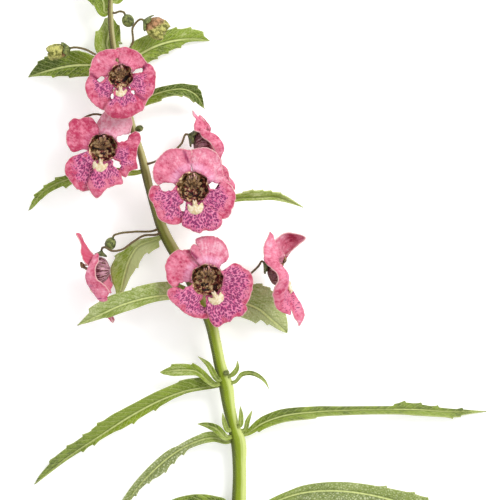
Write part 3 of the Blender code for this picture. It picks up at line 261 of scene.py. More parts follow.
FLOWERS = {
    "flower_1": dict(
        throat=(-41.6, 55.8, 20.6), size=0.78, foot=(49.6, 96), stalk=[(-41.9, 53.4, 14.2)],
        lobes=[(140, -0.8, -1), (47, -1.8, -2), (-11, 0.6, 0.4), (-90, 2.7, 1.6), (206, 0.65, 0.4)],
        depths=(0.64, 0.76, 0.9, 0.9, 0.8), lilac=0.3, dotted_to=(0.62, 0.6, 0.62),
        blushes={3: (-0.1, 0.86, 0.32, 0.2, 0.5)},
        creases=[(-8.8, 0.7, -7, -1, 0.8), (6.9, 2.2, 8.1, 4.1, 0.8), (4.4, -5.2, 7.2, -6.8, 0.7)],
        holes=[(-5.9, -1, 1.3, 0.69, 35), (5.5, 1.7, 1.4, 0.78, 8), (-1.3, 5.1, 0.7, 0.45, 60),
            (-2.4, -6, 1, 0.45, -75), (3.9, -4.7, 0.8, 0.39, -50)],
        outlines=[
            [(-1.2, 4.3), (-2.1, 5), (-1.8, 5.9), (-0.6, 6.5), (-0.5, 7.6), (-1.9, 8.2), (-3.8, 8.2),
                (-6.1, 7.5), (-8.2, 5.6), (-8.9, 3.2), (-9.5, 1.2), (-9.1, -0.8), (-7.9, -1.1),
                (-6.9, -0.7), (-5.5, 0), (-4.5, -0.2)],
            [(3.8, 1.6), (4.6, 2.4), (6.1, 2.8), (7.4, 2.2), (8.5, 2.3), (8.2, 3.8), (7, 5.3), (5.5, 7.2),
                (3.1, 8.4), (0, 8.8), (-1.7, 8.2), (-2, 6.9), (-1.2, 5.8), (-0.6, 5), (-0.8, 4.3)],
            [(3.5, -3.5), (4.6, -4.3), (4.7, -5.5), (4, -6.5), (4.7, -8.1), (7, -9.1), (8, -6.9),
                (9.8, -5.1), (10.3, -2.3), (10.4, 1.7), (9.2, 3.5), (7.8, 4), (6.9, 3.1), (7.1, 1.6),
                (5.6, 0.7), (4.1, 0.7)],
            [(-1.6, -4.9), (-1.7, -6.3), (-2.6, -7.3), (-4.1, -8.4), (-4.7, -9.9), (-4.3, -11.2),
                (-2.8, -12.2), (0, -12.8), (2.8, -12.2), (5.2, -11), (7, -9.5), (6.4, -7.6), (5.1, -6.6),
                (3.8, -5.9), (3.1, -4.5), (2.8, -3.8)],
            [(-4.4, -1.1), (-5.3, -1.6), (-6.7, -2.1), (-7.3, -1.3), (-7.4, -0.1), (-8.5, 0.5), (-9.5, 0),
                (-10.2, -1.2), (-10.6, -2.5), (-9.8, -6), (-7.9, -8.4), (-4.9, -10), (-3.2, -9.4),
                (-2.6, -8.1), (-2.9, -6.8), (-3.1, -5.5), (-2.8, -4.7)],
        ],
    ),
    "flower_2": dict(
        throat=(-47, 34.6, 17.6), size=0.9, foot=(43, 140),
        stalk=[(-44.6, 43.8, 11.4), (-50.4, 44.7, 11.2), (-53.2, 43.2, 11.2), (-52.4, 39.8, 11.2)],
        lobes=[(144, -0.5, -0.8), (68, -1.5, -1.9), (-11, 0.45, 0.4), (-97, 2.3, 1.7), (219, -0.1, -0.2)],
        depths=(0.98, 0, 0.9, 0.75, 0.95), lilac=0.4, dotted_to=(0.65, 0.75, 0.72),
        holes=[(6, 2.9, 1.9, 0.87, 12), (4.4, -5, 1.4, 0.78, -50)],
        outlines=[
            [(-1.5, 4.4), (-1.4, 6.2), (-2.2, 7.7), (-3.4, 9.1), (-5.6, 9.2), (-7.3, 8.7), (-8.7, 8.9),
                (-10.1, 7.7), (-10.3, 5.9), (-11, 4.2), (-11, 2.2), (-10.4, 0.4), (-8.7, -1.3),
                (-7.2, -0.7), (-5.4, -0.4), (-4.2, -0.9)],
            [(4.3, 2.2), (4.1, 3.6), (6.5, 4.4), (7.7, 4.1), (8.5, 5.8), (8.6, 8.8), (7.4, 10.9),
                (4.1, 11.9), (1.1, 11.3), (-1, 8.9), (-2.2, 6.4), (-1.7, 4.7)],
            [(3.7, -3.1), (4.9, -3.7), (5.5, -4.9), (5.3, -6.2), (4.9, -7.1), (5.6, -8.3), (6.8, -8.8),
                (8.3, -7), (10.4, -6.2), (10.1, -3.5), (10.3, -0.6), (11.3, 2.5), (11.2, 4.1), (10, 5),
                (8.5, 4), (7.6, 2.3), (5.6, 1.3), (4.4, 1.4)],
            [(-1.7, -6.5), (-2.4, -8.9), (-4.6, -11), (-3.7, -13), (-2.6, -14.6), (-1.8, -15.1),
                (-0.6, -14.2), (0.7, -12.7), (4.2, -11.2), (6, -10.8), (5.7, -9), (5.3, -7.6), (4.1, -6.7),
                (3.2, -5.5), (3.1, -4)],
            [(-4.4, -2.5), (-5.4, -3.1), (-6.8, -3.2), (-8.4, -2.5), (-9.9, -3.1), (-11, -4.6),
                (-11.5, -6.8), (-10.5, -9.1), (-9.1, -10.8), (-7.9, -12.2), (-6.1, -13), (-4.4, -12.9),
                (-2.4, -11.5), (-0.8, -9.5), (-1.2, -7.1), (-2.1, -5.3)],
        ],
    ),
    "flower_3": dict(
        throat=(-20, 22.7, 22.4), size=1, foot=(13.6, 38), stalk=[(-25.4, 16, 12.6), (-22.4, 21.4, 13.4)],
        lobes=[(135, -0.9, -1), (54, -1.9, -2.2), (-16, 0.45, 0.3), (-83, 1.7, 1.3), (204, 0.45, 0.3)],
        depths=(0.6, 0.3, 0.8, 0.75, 0.8), lilac=1, dotted_to=(0.62, 0.95, 0.78),
        blushes={1: (0.85, 0.8, 0.2, 0.2, 0.4)}, creases=[(-2.6, 10.7, -1.4, 7.6, 0.7)],
        holes=[(-7.8, 0.1, 2.2, 1.08, 0), (6, 0.3, 1.4, 0.9, -20), (-3.3, -6.1, 1.3, 0.66, -70)],
        outlines=[
            [(-0.6, 5.5), (-0.9, 7.4), (-0.6, 9.4), (-0.3, 10.9), (-1.6, 11.3), (-3.2, 11.6), (-5.4, 11.6),
                (-7.4, 11.4), (-9.2, 10), (-11.1, 7.9), (-11.9, 5.7), (-12, 3.7), (-11.4, 1.7),
                (-10.2, 0.7), (-8.1, 1.2), (-6, 1.4), (-5, 0.5)],
            [(4.8, 1), (5.8, 1.4), (7.5, 1.3), (9.3, 1.3), (9.3, 2.9), (8.8, 4.7), (8.6, 6.7), (7.9, 9),
                (6.7, 10.6), (5, 11.6), (3, 12), (0.6, 11.6), (-1.5, 10.6), (-1.5, 8.9), (-0.6, 7.1),
                (0, 5.6)],
            [(3.7, -5), (4.3, -6.5), (6.1, -7.7), (8.7, -9.5), (10.9, -8.6), (11.5, -6.9), (12.4, -4.9),
                (12.7, -2.7), (12.2, -0.7), (11.1, 0.8), (9.3, 1.8), (7.7, 1), (7.3, -0.4), (6, -0.8),
                (4.9, -0.2)],
            [(-2, -4.9), (-2.2, -6.5), (-2.7, -7.7), (-3.1, -9.2), (-3, -11.5), (-1.2, -12.4), (0.8, -13.4),
                (2.3, -13.6), (3.2, -12.8), (4.9, -13), (6.7, -12.8), (8.5, -11.3), (8.7, -9.5),
                (6.8, -7.6), (4.8, -6.4), (4, -5)],
            [(-4.9, -0.8), (-6.1, -0.8), (-6.7, -1.3), (-8.2, -1.1), (-9.3, -0.3), (-10.5, 0.5),
                (-12.2, 0.4), (-13.1, -1.3), (-13.2, -2.9), (-12.1, -4.7), (-11.2, -6.8), (-9.9, -9.6),
                (-8, -10.7), (-5.6, -11.2), (-3.3, -10.4), (-2.4, -8.9), (-3.3, -7.4), (-4.2, -6.4),
                (-4.2, -5), (-3.3, -4.1)],
        ],
    ),
    "flower_4": dict(
        throat=(-15.7, -4.9, 20), size=1, foot=(0.8, 62), stalk=[(-20.4, 0.2, 12.9)],
        lobes=[(157, -1.9, -2.2), (84, -0.6, -0.8), (-3, 0.45, 0.3), (-64, 2, 1.4), (223, 0.45, 0.3)],
        depths=(0.7, 0.35, 0.75, 0.85, 0.75), lilac=0.9, dotted_to=(0.84, 0.95, 0.82),
        creases=[(-5.4, 8.8, -3.2, 6.5, 0.8)],
        holes=[(-7.3, -1.7, 1.4, 0.9, 35), (-1.4, -7.1, 1.4, 0.72, -50)],
        outlines=[
            [(-2.2, 4.5), (-3.1, 6.1), (-3.4, 7.7), (-4.3, 8.8), (-5.9, 9.1), (-7.1, 9), (-9.2, 8.9),
                (-11.2, 7.3), (-12.7, 4.4), (-12.4, 1.9), (-11.7, -0.8), (-10.3, -2.1), (-8.6, -1.6),
                (-7.4, -0.6), (-6.1, -0.2), (-5, -0.9)],
            [(4.7, 1.3), (3.8, 3.1), (4.1, 4.9), (5.8, 5.8), (6.4, 7.3), (6, 9.2), (4.9, 11.3), (2.9, 12.7),
                (0.2, 13.2), (-1.9, 13), (-3.7, 11.7), (-2.9, 10.3), (-4, 10.9), (-5.1, 9.7), (-4.9, 7.7),
                (-3.3, 5.9), (-1.9, 4.6)],
            [(5, -4.5), (6.5, -5.6), (8.5, -7.2), (11, -7.8), (12.3, -6.2), (13.3, -3.4), (13.7, -0.4),
                (12.7, 2.5), (11.1, 3.5), (9.6, 4.7), (8.2, 5), (6.5, 3.9), (5.3, 2.4), (4.8, 1.1)],
            [(-0.1, -5.7), (0, -7.2), (-0.4, -8.6), (0.2, -10.3), (1.4, -13), (2.7, -14.2), (4.8, -13.1),
                (6.9, -12.3), (8.2, -11.2), (10.2, -10.6), (11.9, -8.8), (11, -7.1), (8.5, -5.9),
                (6.2, -5.3), (4.7, -4.6)],
            [(-4.6, -2.1), (-5.9, -2.5), (-7.3, -3), (-8.8, -3.2), (-10.5, -2.3), (-11.8, -2.9),
                (-11.4, -5.7), (-9, -7.8), (-6.7, -9.9), (-4.7, -11.1), (-1.9, -11.5), (0.3, -11.4),
                (0.4, -9.8), (-1.3, -8.7), (-2.5, -7.7), (-2.8, -6.4), (-2, -5.3)],
        ],
    ),
    "flower_5": dict(
        throat=(-15.6, 36.2, 10.8), faces=(0.97, 0.2, -0.1), up=(-0.2, 0.98, 0), calyx_tilt=36, size=0.82,
        foot=(29.6, 18), stalk=[(-27.6, 32.6, 12), (-23.6, 35.9, 11.8)],
        lobes=[(118, -0.7, -2.2), (62, -2, -3.8), (-18, 1.6, 2.6), (-90, 3.8, 5), (200, 1.5, 3)],
        plain={2: (8.8, 9.6)}, depths=(0.6, 0.6, 0.6, 0.7, 0.66), lilac=0.2, dotted=0.25, pouch_depth=0.8,
        tooth_sunk=1,
        profiles={
            0: (
                [(0, 3.9, 0.4), (-0.2, 5.2, 1), (-1.3, 6.7, 1.6), (-2.9, 8.3, 1.6), (-3.4, 7.6, 2.2),
                    (-4.3, 8.6, 2.2), (-5, 9.6, 2), (-4.6, 8.3, 2.8), (-3.8, 7, 3), (-4.1, 5.2, 3.8),
                    (-4, 3.7, 4.2), (-2.7, 3.1, 4.6)],
            ),
            1: (
                [(0.5, 3.2, -3), (0.4, 5, -2.6), (-0.5, 6.5, -2), (-2, 8, -1.4), (-2.6, 8.3, -1),
                    (-3, 6.8, -0.6), (-2.4, 4.7, -0.2)],
            ),
            3: (
                [(1.5, -5.2, 3.6), (1.2, -7.6, 3), (2.4, -10.6, 2.2), (4.2, -13, 1.4), (6.3, -14.6, 0.6),
                    (8, -14.3, 0.2), (8.2, -13.3, 0), (7, -12.2, 0), (6.1, -11.2, 0.4), (6.5, -9.7, 0.2),
                    (5.9, -8.3, 0), (4.7, -8, 0), (4.1, -6.1, -0.4), (3.5, -4.3, -0.8)],
            ),
            4: (
                [(-2.7, 3.4, 4), (-2.4, 2.5, 4.8), (-1.6, 1.4, 5.6), (-0.2, 0.5, 6.4), (1.2, -0.9, 6.4),
                    (1.9, -2.3, 5.8), (2.4, -3.4, 5.2), (2.9, -4.6, 4.4)],
                [(-2.5, 3.8, 3.6), (-1.9, 4, 3.8), (-0.2, 3.4, 4.2), (2.3, 2.3, 4.6), (3.8, 0.6, 4.6),
                    (4.7, -1.1, 4.4), (4.7, -2.3, 4), (4, -3.6, 3.6), (3.5, -4.9, 3)],
            ),
        },
    ),
    "flower_6": dict(
        throat=(-49.3, -2, 11.6), faces=(-1, -0.05, 0), up=(-0.05, 1, 0), calyx_tilt=78, size=0.8,
        foot=(9.6, 146),
        stalk=[(-35, 8.3, 12.4), (-38.2, 6.4, 13), (-41.4, 4.2, 13.7), (-44.4, 3.8, 13.7),
            (-46.6, 4.9, 13)],
        lobes=[(122, 1.2, 3.8), (62, 2.9, 5.6), (-22, 2.6, -0.8), (-104, -0.6, -4.4), (212, -1.9, -4.2)],
        plain={3: (16.4, 7.4), 4: (9.4, 8.6)}, depths=(0.95, 0.95, 0.55, 0.6, 0.5), lilac=0.3, dotted=0.35,
        pouch_depth=0.3, anthers_moved=(2.7, 0),
        profiles={
            0: (
                [(-0.4, 4.4, -0.2), (-1.3, 5.6, 0.2), (-2.5, 7, 0.4), (-3.7, 8.2, 0.8), (-4.5, 9.5, 1),
                    (-4.6, 8.2, 0.4), (-4.2, 6.4, -0.6), (-3.9, 4.7, -1.6), (-2.9, 3.1, -2.4)],
            ),
            1: (
                [(-2.1, 1.5, 4.2), (-3.8, 3.5, 4), (-4.4, 4.9, 3.8), (-4.4, 6.9, 3.2), (-4.7, 8.7, 2.8),
                    (-5.5, 10.1, 2.6), (-5.9, 11.1, 2.4), (-5, 11.2, 2.2), (-4.1, 10.1, 2.2),
                    (-4, 8.7, 2.2), (-2.5, 7.5, 1.8), (-1.6, 5.9, 1.4), (-0.8, 4.6, 1)],
            ),
            2: (
                [(3.5, -7.7, 3), (4, -6.5, 3.8), (3.4, -4.9, 4.8), (2.2, -3.8, 5.8), (0.6, -2.7, 6.8),
                    (0.1, -1.5, 7.2), (0.2, 0.5, 7), (0.9, 2.5, 6), (1, 4.3, 4.8)],
                [(3, -8.8, 2), (1.6, -9.1, 2.4), (0.4, -7.9, 3), (-1.4, -5.5, 4.2), (-2.4, -3.8, 5),
                    (-2.9, -1.9, 5.4), (-2.4, 0.1, 5.4), (-1.4, 2.1, 4.8), (-0.4, 4.3, 4), (0.4, 4.8, 4)],
            ),
        },
    ),
    "flower_7": dict(
        throat=(6.6, -2.6, 16.4), faces=(0.95, 0.3, 0), up=(-0.3, 0.95, 0), calyx_tilt=50, size=0.8,
        foot=(-8.4, 50),
        stalk=[(-12.6, -7.8, 12.2), (-7.4, -5.8, 12.8), (-2.7, -2.9, 14.2), (-0.4, -0.7, 15.6)],
        lobes=[(116, 0.2, 0), (60, 4, 8.4), (-22, 0.4, -1.6), (-90, 1.8, 0.6), (206, -0.6, -3.2)],
        plain={2: (9.4, 10.4)}, depths=(0.45, 0.35, 0.65, 0.7, 0.68), lilac=0.3, dotted=0.35, pouch_depth=1,
        tooth_sunk=0.9, anthers_moved=(0.8, 1.4),
        blushes={1: (0.1, 0.6, 0.6, 0.4, 0.45), 4: (0.5, 0.75, 0.07, 0.5, 0.6)},
        profiles={
            0: (
                [(0.8, 4.8, 0.6), (0.7, 5.8, 0.8), (-0.1, 6.4, 1.2), (-1.2, 7.3, 1.8), (-2.4, 8.8, 2.4),
                    (-2.6, 9.8, 2.6), (-2.9, 10.9, 2.8), (-3.6, 12.2, 3), (-4.1, 11.3, 3.2),
                    (-4.7, 10.2, 3.6), (-5.5, 8.1, 4.2), (-5.7, 6.6, 4.6), (-5.5, 5, 5), (-5, 3.8, 5.2),
                    (-3.3, 2.9, 5)],
            ),
            1: (
                [(1, 4.9, -1.4), (2.2, 5.9, -0.4), (3.9, 7.2, 0.4), (5.5, 8.7, 1), (6.9, 10.2, 1.4),
                    (5.5, 11.1, 0.8), (3.9, 11.5, 0.4), (2.2, 11.8, 0.2), (0.5, 11.6, 0.2),
                    (-0.8, 10.7, 0.4), (-2.4, 8.8, 1.2), (-1.8, 6.7, 0.8)],
                [(1.2, 4.3, -3.6), (2.1, 5.6, -3.4), (2.9, 6.8, -3.2), (3.3, 8, -3.2), (3.3, 8.9, -3.2),
                    (2.7, 9.4, -3.2), (1.9, 9.5, -3), (1.2, 9.3, -2.8), (0.4, 8.8, -2.4), (-0.1, 7.9, -1.8),
                    (-0.6, 6.7, -1.2), (-0.8, 5.2, -0.8)],
            ),
            3: (
                [(1.1, -7, 2.4), (1.5, -8.1, 2.4), (2.1, -10.2, 2.2), (3, -12.1, 2), (3.7, -14, 1.8),
                    (4.7, -15.1, 1.4), (5.1, -16.2, 1), (6.2, -14.8, 0.6), (6.7, -13.6, 0.4),
                    (6.8, -12.3, 0.2), (6, -11.2, 0.2), (5.3, -10.8, 0), (5, -8.7, -0.6), (4.1, -7.8, -1),
                    (3, -6.6, -1.6), (1.9, -5.4, -2.2)],
            ),
            4: (
                [(-5.1, 3.9, 5.6), (-5, 3.3, 6.2), (-3.5, 1.2, 8.4), (-2.2, -0.1, 9.8), (-1.3, -1.3, 10.6),
                    (-1.2, -2.6, 10.4), (-2.2, -4.1, 9.4), (-2.8, -5.6, 8.2), (-2.8, -6.8, 7.2),
                    (-2.4, -8.5, 6.2), (-2.1, -9.8, 5.4), (-1.3, -11, 4.8), (-0.2, -11.7, 4.2),
                    (1.6, -11.9, 3.4)],
                [(-4.6, 4.2, 5), (-3.5, 4.1, 5.4), (-1.6, 3.2, 6), (0.1, 1.7, 6.6), (1.2, 0.3, 7),
                    (1.7, -1.1, 7), (1.7, -3.5, 6.6), (1.2, -5.6, 5.6), (0.9, -7.7, 4.6), (1.6, -9.7, 3.6),
                    (2.5, -11.5, 2.8)],
            ),
        },
    ),
}

# A bud's row gives its radius and length, the foot of its stalk on the stem and the stalk's points, and its
# middle and the way it points, unless it sits right on its foot. A bud whose petals show has sepals too.
USUAL_BUD = dict(
    foot=None,
    middle=None,
    points=None,
    stalk=(),
    sepals=None,  # degrees round the bud that they reach, at their tips and at the notches between them
    lime=0,  # how much sooner the petals turn from salmon to lime
)
BUDS = {
    "bud_1": dict(
        radius=1.9, length=4, foot=(75.2, 12), middle=(-39.6, 72.9, 10.8), points=(0.5, -1, 0),
        stalk=[(-41.9, 75.7, 10.9)],
    ),
    "bud_2": dict(
        radius=3.3, length=6.8, foot=(61.6, 44), middle=(-31, 70.6, 13.8), points=(0.85, -0.5, 0),
        stalk=[(-38.2, 66.2, 12.4), (-38, 71, 13.4)], sepals=(52, 34), lime=0.08,
    ),
    "bud_3": dict(
        radius=2.4, length=6.2, foot=(61.6, 128), middle=(-61, 63.6, 11.8), points=(-1, -0.25, 0),
        stalk=[(-48.7, 62.4, 12.2), (-52.6, 64.3, 12)], sepals=(60, 42), lime=0.4,
    ),
    "bud_4": dict(radius=1, length=2.4, foot=(40, 24)),
    "bud_5": dict(
        radius=1.75, length=3.9, foot=(10.8, 158), middle=(-44.9, 5.9, 10.9), points=(-0.4, -1, 0),
        stalk=[(-38, 9.5, 12), (-42.6, 8.9, 11.4)],
    ),
    "bud_6": dict(radius=0.8, length=1.9, foot=(-33, 62)),
    "bud_tip": dict(radius=1.5, length=4.2, middle=(-44.8, 85.2, 10), points=(0, 1, 0)),
}

POUCH_DEPTH = 5.2  # at size 1, from the throat to the back
POUCH_WIDE = 4.85  # at size 1
POUCH_BEHIND = 1.2  # the pouch's widest place lies this far behind the throat
SINUS_HALF = 2.5  # degrees of free rim on each side of the notch between two lobes
CORNER_DROP = 0.24  # how far a plain lobe falls back at its corners
CORNER_NARROW = 0.24  # how much narrower it is at its end
SEPAL_REACH = 40  # degrees round the pouch
SEPAL_NOTCH = 22
UPPER_LOBES = 2  # the first two lobes of each flower are those of its upper lip
LOWER_LOBE = 3  # place of the lower lip's middle lobe in each flower's list


class Path:
    """A smooth curve through rows of numbers whose first three are a point, read by share of its length."""

    def __init__(self, rows):
        self.rows = np.array(rows, float)
        steps = np.linalg.norm(np.diff(self.rows[:, :3], axis=0), axis=1)
        self.length = steps.sum()
        self.marks = np.concatenate([[0.0], np.cumsum(steps)]) / self.length
        self.slopes = np.gradient(self.rows, self.marks, axis=0)

    def row(self, share):
        last = int(np.clip(np.searchsorted(self.marks, share, side="right") - 1, 0, len(self.marks) - 2))
        gap = self.marks[last + 1] - self.marks[last]
        part = (share - self.marks[last]) / gap
        start, end = self.rows[last], self.rows[last + 1]
        leave, arrive = self.slopes[last] * gap, self.slopes[last + 1] * gap
        return (
            start * (2 * part**3 - 3 * part**2 + 1)
            + leave * (part**3 - 2 * part**2 + part)
            + end * (3 * part**2 - 2 * part**3)
            + arrive * (part**3 - part**2)
        )

    def point(self, share):
        return Vector(self.row(share)[:3])

    def direction(self, share):
        step = 0.004
        return (self.point(min(share + step, 1.0)) - self.point(max(share - step, 0.0))).normalized()


STEM_PATH = Path(STEM)
HALVINGS = 30  # of the stem's length, to find a place on it


def stem_frame(share):
    """Axis point, radius, and the two directions across the stem: right and up."""
    row = STEM_PATH.row(share)
    along = STEM_PATH.direction(share)
    right = along.cross(UP).normalized()
    up = right.cross(along).normalized()
    return Vector(row[:3]), row[3], right, up


def stem_share(y):
    """The share of the stem's length at which its axis crosses this y."""
    low, high = 0.0, 1.0
    for _ in range(HALVINGS):
        middle = (low + high) / 2
        if STEM_PATH.row(middle)[1] < y:
            low = middle
        else:
            high = middle
    return low


def seat_on_stem(y, angle):
    """A point just under the stem's skin, and the direction straight out from the axis there."""
    axis, radius, right, up = stem_frame(stem_share(y))
    out = right * math.cos(math.radians(angle)) + up * math.sin(math.radians(angle))
    return axis + out * (radius - ROOTED), out


class Nodes:
    """A material's node tree, built by short calls that return sockets."""

    def __init__(self, name):
        self.material = bpy.data.materials.new(name)
        self.material.use_nodes = True
        self.tree = self.material.node_tree
        self.shader = self.tree.nodes["Principled BSDF"]

    def link(self, source, socket):
        self.tree.links.new(source, socket)

    def feed(self, socket, value):
        if isinstance(value, bpy.types.NodeSocket):
            self.link(value, socket)
        elif isinstance(value, tuple) and len(value) == 3 and socket.type == "RGBA":
            socket.default_value = (*value, 1.0)
        else:
            socket.default_value = value

    def millimetres(self):
        """Object coordinates in millimetres."""
        return self.scaled(self.tree.nodes.new("ShaderNodeTexCoord").outputs["Object"], 1 / MM)

    def surface(self):
        """The UV map, whose unit is a millimetre along the surface."""
        node = self.tree.nodes.new("ShaderNodeUVMap")
        node.uv_map = "surface"
        return node.outputs["UV"]

    def scaled(self, vector, by):
        node = self.tree.nodes.new("ShaderNodeVectorMath")
        node.operation = "MULTIPLY"
        self.link(vector, node.inputs[0])
        node.inputs[1].default_value = by if isinstance(by, tuple) else (by, by, by)
        return node.outputs[0]

    def parts(self, vector):
        node = self.tree.nodes.new("ShaderNodeSeparateXYZ")
        self.link(vector, node.inputs[0])
        return node.outputs

    def value(self, name):
        node = self.tree.nodes.new("ShaderNodeAttribute")
        node.attribute_name = name
        return node.outputs["Fac"]

    def math(self, operation, *values):
        node = self.tree.nodes.new("ShaderNodeMath")
        node.operation = operation
        for socket, value in zip(node.inputs, values):
            self.feed(socket, value)
        return node.outputs[0]

    def times(self, value, by):
        return self.math("MULTIPLY", value, by)

    def plus(self, value, more):
        return self.math("ADD", value, more)

    def minus(self, value, less):
        return self.math("SUBTRACT", value, less)

    def swing(self, value, by, base=0.0):
        """The base, moved by so many times the value's distance from one half."""
        return self.math("MULTIPLY_ADD", self.minus(value, 0.5), by, base)

    def flat_vector(self, x, y):
        node = self.tree.nodes.new("ShaderNodeCombineXYZ")
        self.feed(node.inputs[0], x)
        self.feed(node.inputs[1], y)
        return node.outputs[0]

    def step(self, value, low, high, start=0.0, end=1.0):
        """Runs smoothly from start at low to end at high."""
        node = self.tree.nodes.new("ShaderNodeMapRange")
        node.interpolation_type = "SMOOTHSTEP"
        for name, given in (("Value", value), ("From Min", low), ("From Max", high)):
            self.feed(node.inputs[name], given)
        node.inputs["To Min"].default_value = start
        node.inputs["To Max"].default_value = end
        return node.outputs[0]

    def mix(self, factor, first, second):
        node = self.tree.nodes.new("ShaderNodeMix")
        node.data_type = "RGBA"
        self.feed(node.inputs[0], factor)
        self.feed(node.inputs[6], first)
        self.feed(node.inputs[7], second)
        return node.outputs[2]

    def noise(self, vector, scale, detail=2.0, rough=0.5):
        node = self.tree.nodes.new("ShaderNodeTexNoise")
        self.link(vector, node.inputs["Vector"])
        node.inputs["Scale"].default_value = scale
        node.inputs["Detail"].default_value = detail
        node.inputs["Roughness"].default_value = rough
        return node.outputs["Fac"]

    def cells(self, vector, scale, feature="F1", spread=1.0, flat=False):
        node = self.tree.nodes.new("ShaderNodeTexVoronoi")
        node.voronoi_dimensions = "2D" if flat else "3D"
        node.feature = feature
        self.link(vector, node.inputs["Vector"])
        node.inputs["Scale"].default_value = scale
        node.inputs["Randomness"].default_value = spread
        return node.outputs["Distance"]

    def bump(self, height, strength, distance):
        node = self.tree.nodes.new("ShaderNodeBump")
        node.inputs["Strength"].default_value = strength
        node.inputs["Distance"].default_value = distance * MM
        self.link(height, node.inputs["Height"])
        self.link(node.outputs[0], self.shader.inputs["Normal"])

    def finish(self, colour, roughness=0.5, **constants):
        self.feed(self.shader.inputs["Base Color"], colour)
        self.feed(self.shader.inputs["Roughness"], roughness)
        for name, value in constants.items():
            self.shader.inputs[name.replace("_", " ")].default_value = value
        return self.material


LIGHT_GAIN = 1.22  # how much brighter than its base colour a level surface looks here


def seen(red, green, blue):
    """Base colour of a surface that looks like this, in eight-bit steps, under this scene's light."""
    return tuple(((step / 255 + 0.055) / 1.055) ** 2.4 / LIGHT_GAIN for step in (red, green, blue))


DASH_APART = 0.36  # mm between two rows of dashes, at 7 mm from the throat's middle
DASH_LONG = 0.95  # mm from one dash of a row to the next


def dashes(n, surface, density):
    """Rows of dark dashes that run away from the throat, thicker where the density is higher."""
    x, y, _ = n.parts(surface)
    sway = n.swing(n.noise(surface, 0.6), 0.9)
    apart = n.math("DIVIDE", n.plus(x, sway), DASH_APART)
    place = n.flat_vector(apart, n.math("DIVIDE", y, DASH_LONG))
    distance = n.cells(place, 1.0, spread=0.85, flat=True)
    size = n.times(n.noise(surface, 1.3), 0.3)
    reach = n.math("MULTIPLY_ADD", density, 0.36, n.minus(size, 0.06))
    return n.step(n.minus(reach, distance), -0.06, 0.08)


def petal_front():
    """Rose lobes, magenta with dark dashes round the throat's lower side, and a mottled brown pouch."""
    n = Nodes("petal_front")
    place = n.millimetres()
    surface = n.surface()
    edge = n.value("edge")
    dots = n.value("dots")
    throat = n.value("throat")
    grain = n.noise(place, 1.1, 5, 0.65)
    streaks = n.noise(n.scaled(surface, (1.9, 0.25, 1.0)), 1.0, 3, 0.6)

    blush = n.noise(place, 0.45, 4, 0.6)
    depth = n.swing(blush, 2.4, n.value("depth"))
    depth = n.swing(grain, 1.8, depth)
    depth = n.swing(streaks, 1.3, depth)
    pink = n.mix(n.step(depth, -0.25, 0.5), seen(250, 188, 206), seen(232, 130, 156))
    pink = n.mix(n.step(depth, 0.45, 1.3), pink, seen(190, 48, 90))
    lilac = n.step(n.value("lilac"), 0.1, 0.9, 0, 0.55)
    lilac = n.times(lilac, n.step(streaks, 0.7, 0.3, 0.35, 1.0))
    pink = n.mix(lilac, pink, seen(242, 182, 220))
    # painted shade along the creases and at the lobes' roots round the mouth
    pink = n.mix(n.value("fold"), pink, seen(150, 34, 84))

    magenta = n.mix(n.step(grain, 0.35, 0.65), seen(214, 82, 142), seen(244, 156, 192))
    colour = n.mix(n.step(dots, 0.1, 0.8, 0, 0.8), pink, magenta)
    dark = n.times(dashes(n, surface, dots), n.step(dots, 0.05, 0.3))
    colour = n.mix(n.times(dark, 0.9), colour, seen(122, 10, 88))

    colour = n.mix(n.step(edge, 0.86, 0.96, 0, 0.35), colour, seen(196, 74, 104))
    colour = n.mix(n.step(edge, 0.968, 0.995, 0, 0.8), colour, seen(246, 200, 196))
    glints = n.cells(place, 2.4)
    colour = n.mix(n.step(glints, 0.22, 0.08, 0, 0.45), colour, seen(254, 216, 226))

    tint = n.plus(n.noise(place, 0.6, 2), n.times(n.value("wine"), 0.35))
    inside = n.mix(n.step(tint, 0.46, 0.64), seen(152, 112, 58), seen(150, 32, 50))
    blotch_and_highlight = n.noise(place, 0.75, 4, 0.7)
    inside = n.mix(n.step(blotch_and_highlight, 0.52, 0.45), inside, seen(30, 8, 8))
    # painted highlights on the throat's inside, where the blotch noise is high
    inside = n.mix(n.step(blotch_and_highlight, 0.54, 0.58), inside, seen(255, 222, 168))
    # pale specks, thicker on a ring near the mouth: partly the throat's own cream spots, partly painted
    # glints
    specks = n.step(n.cells(place, 1.05), 0.36, 0.2)
    ring = n.times(n.step(throat, 0.12, 0.3), n.step(throat, 0.98, 0.75))
    specks = n.times(specks, n.math("MULTIPLY_ADD", ring, 0.65, 0.2))
    inside = n.mix(specks, inside, seen(238, 198, 152))
    veil = n.plus(throat, n.swing(n.noise(place, 1.5, 3), 0.6))
    colour = n.mix(n.step(veil, 0.1, 0.42), colour, inside)

    hollow = n.minus(n.times(grain, 1.4), n.times(glints, 0.5))
    n.bump(n.plus(hollow, n.times(streaks, 0.5)), 0.7, 0.4)
    return n.finish(colour, n.step(throat, 0.1, 0.6, 0.55, 0.28), Specular_IOR_Level=0.3)


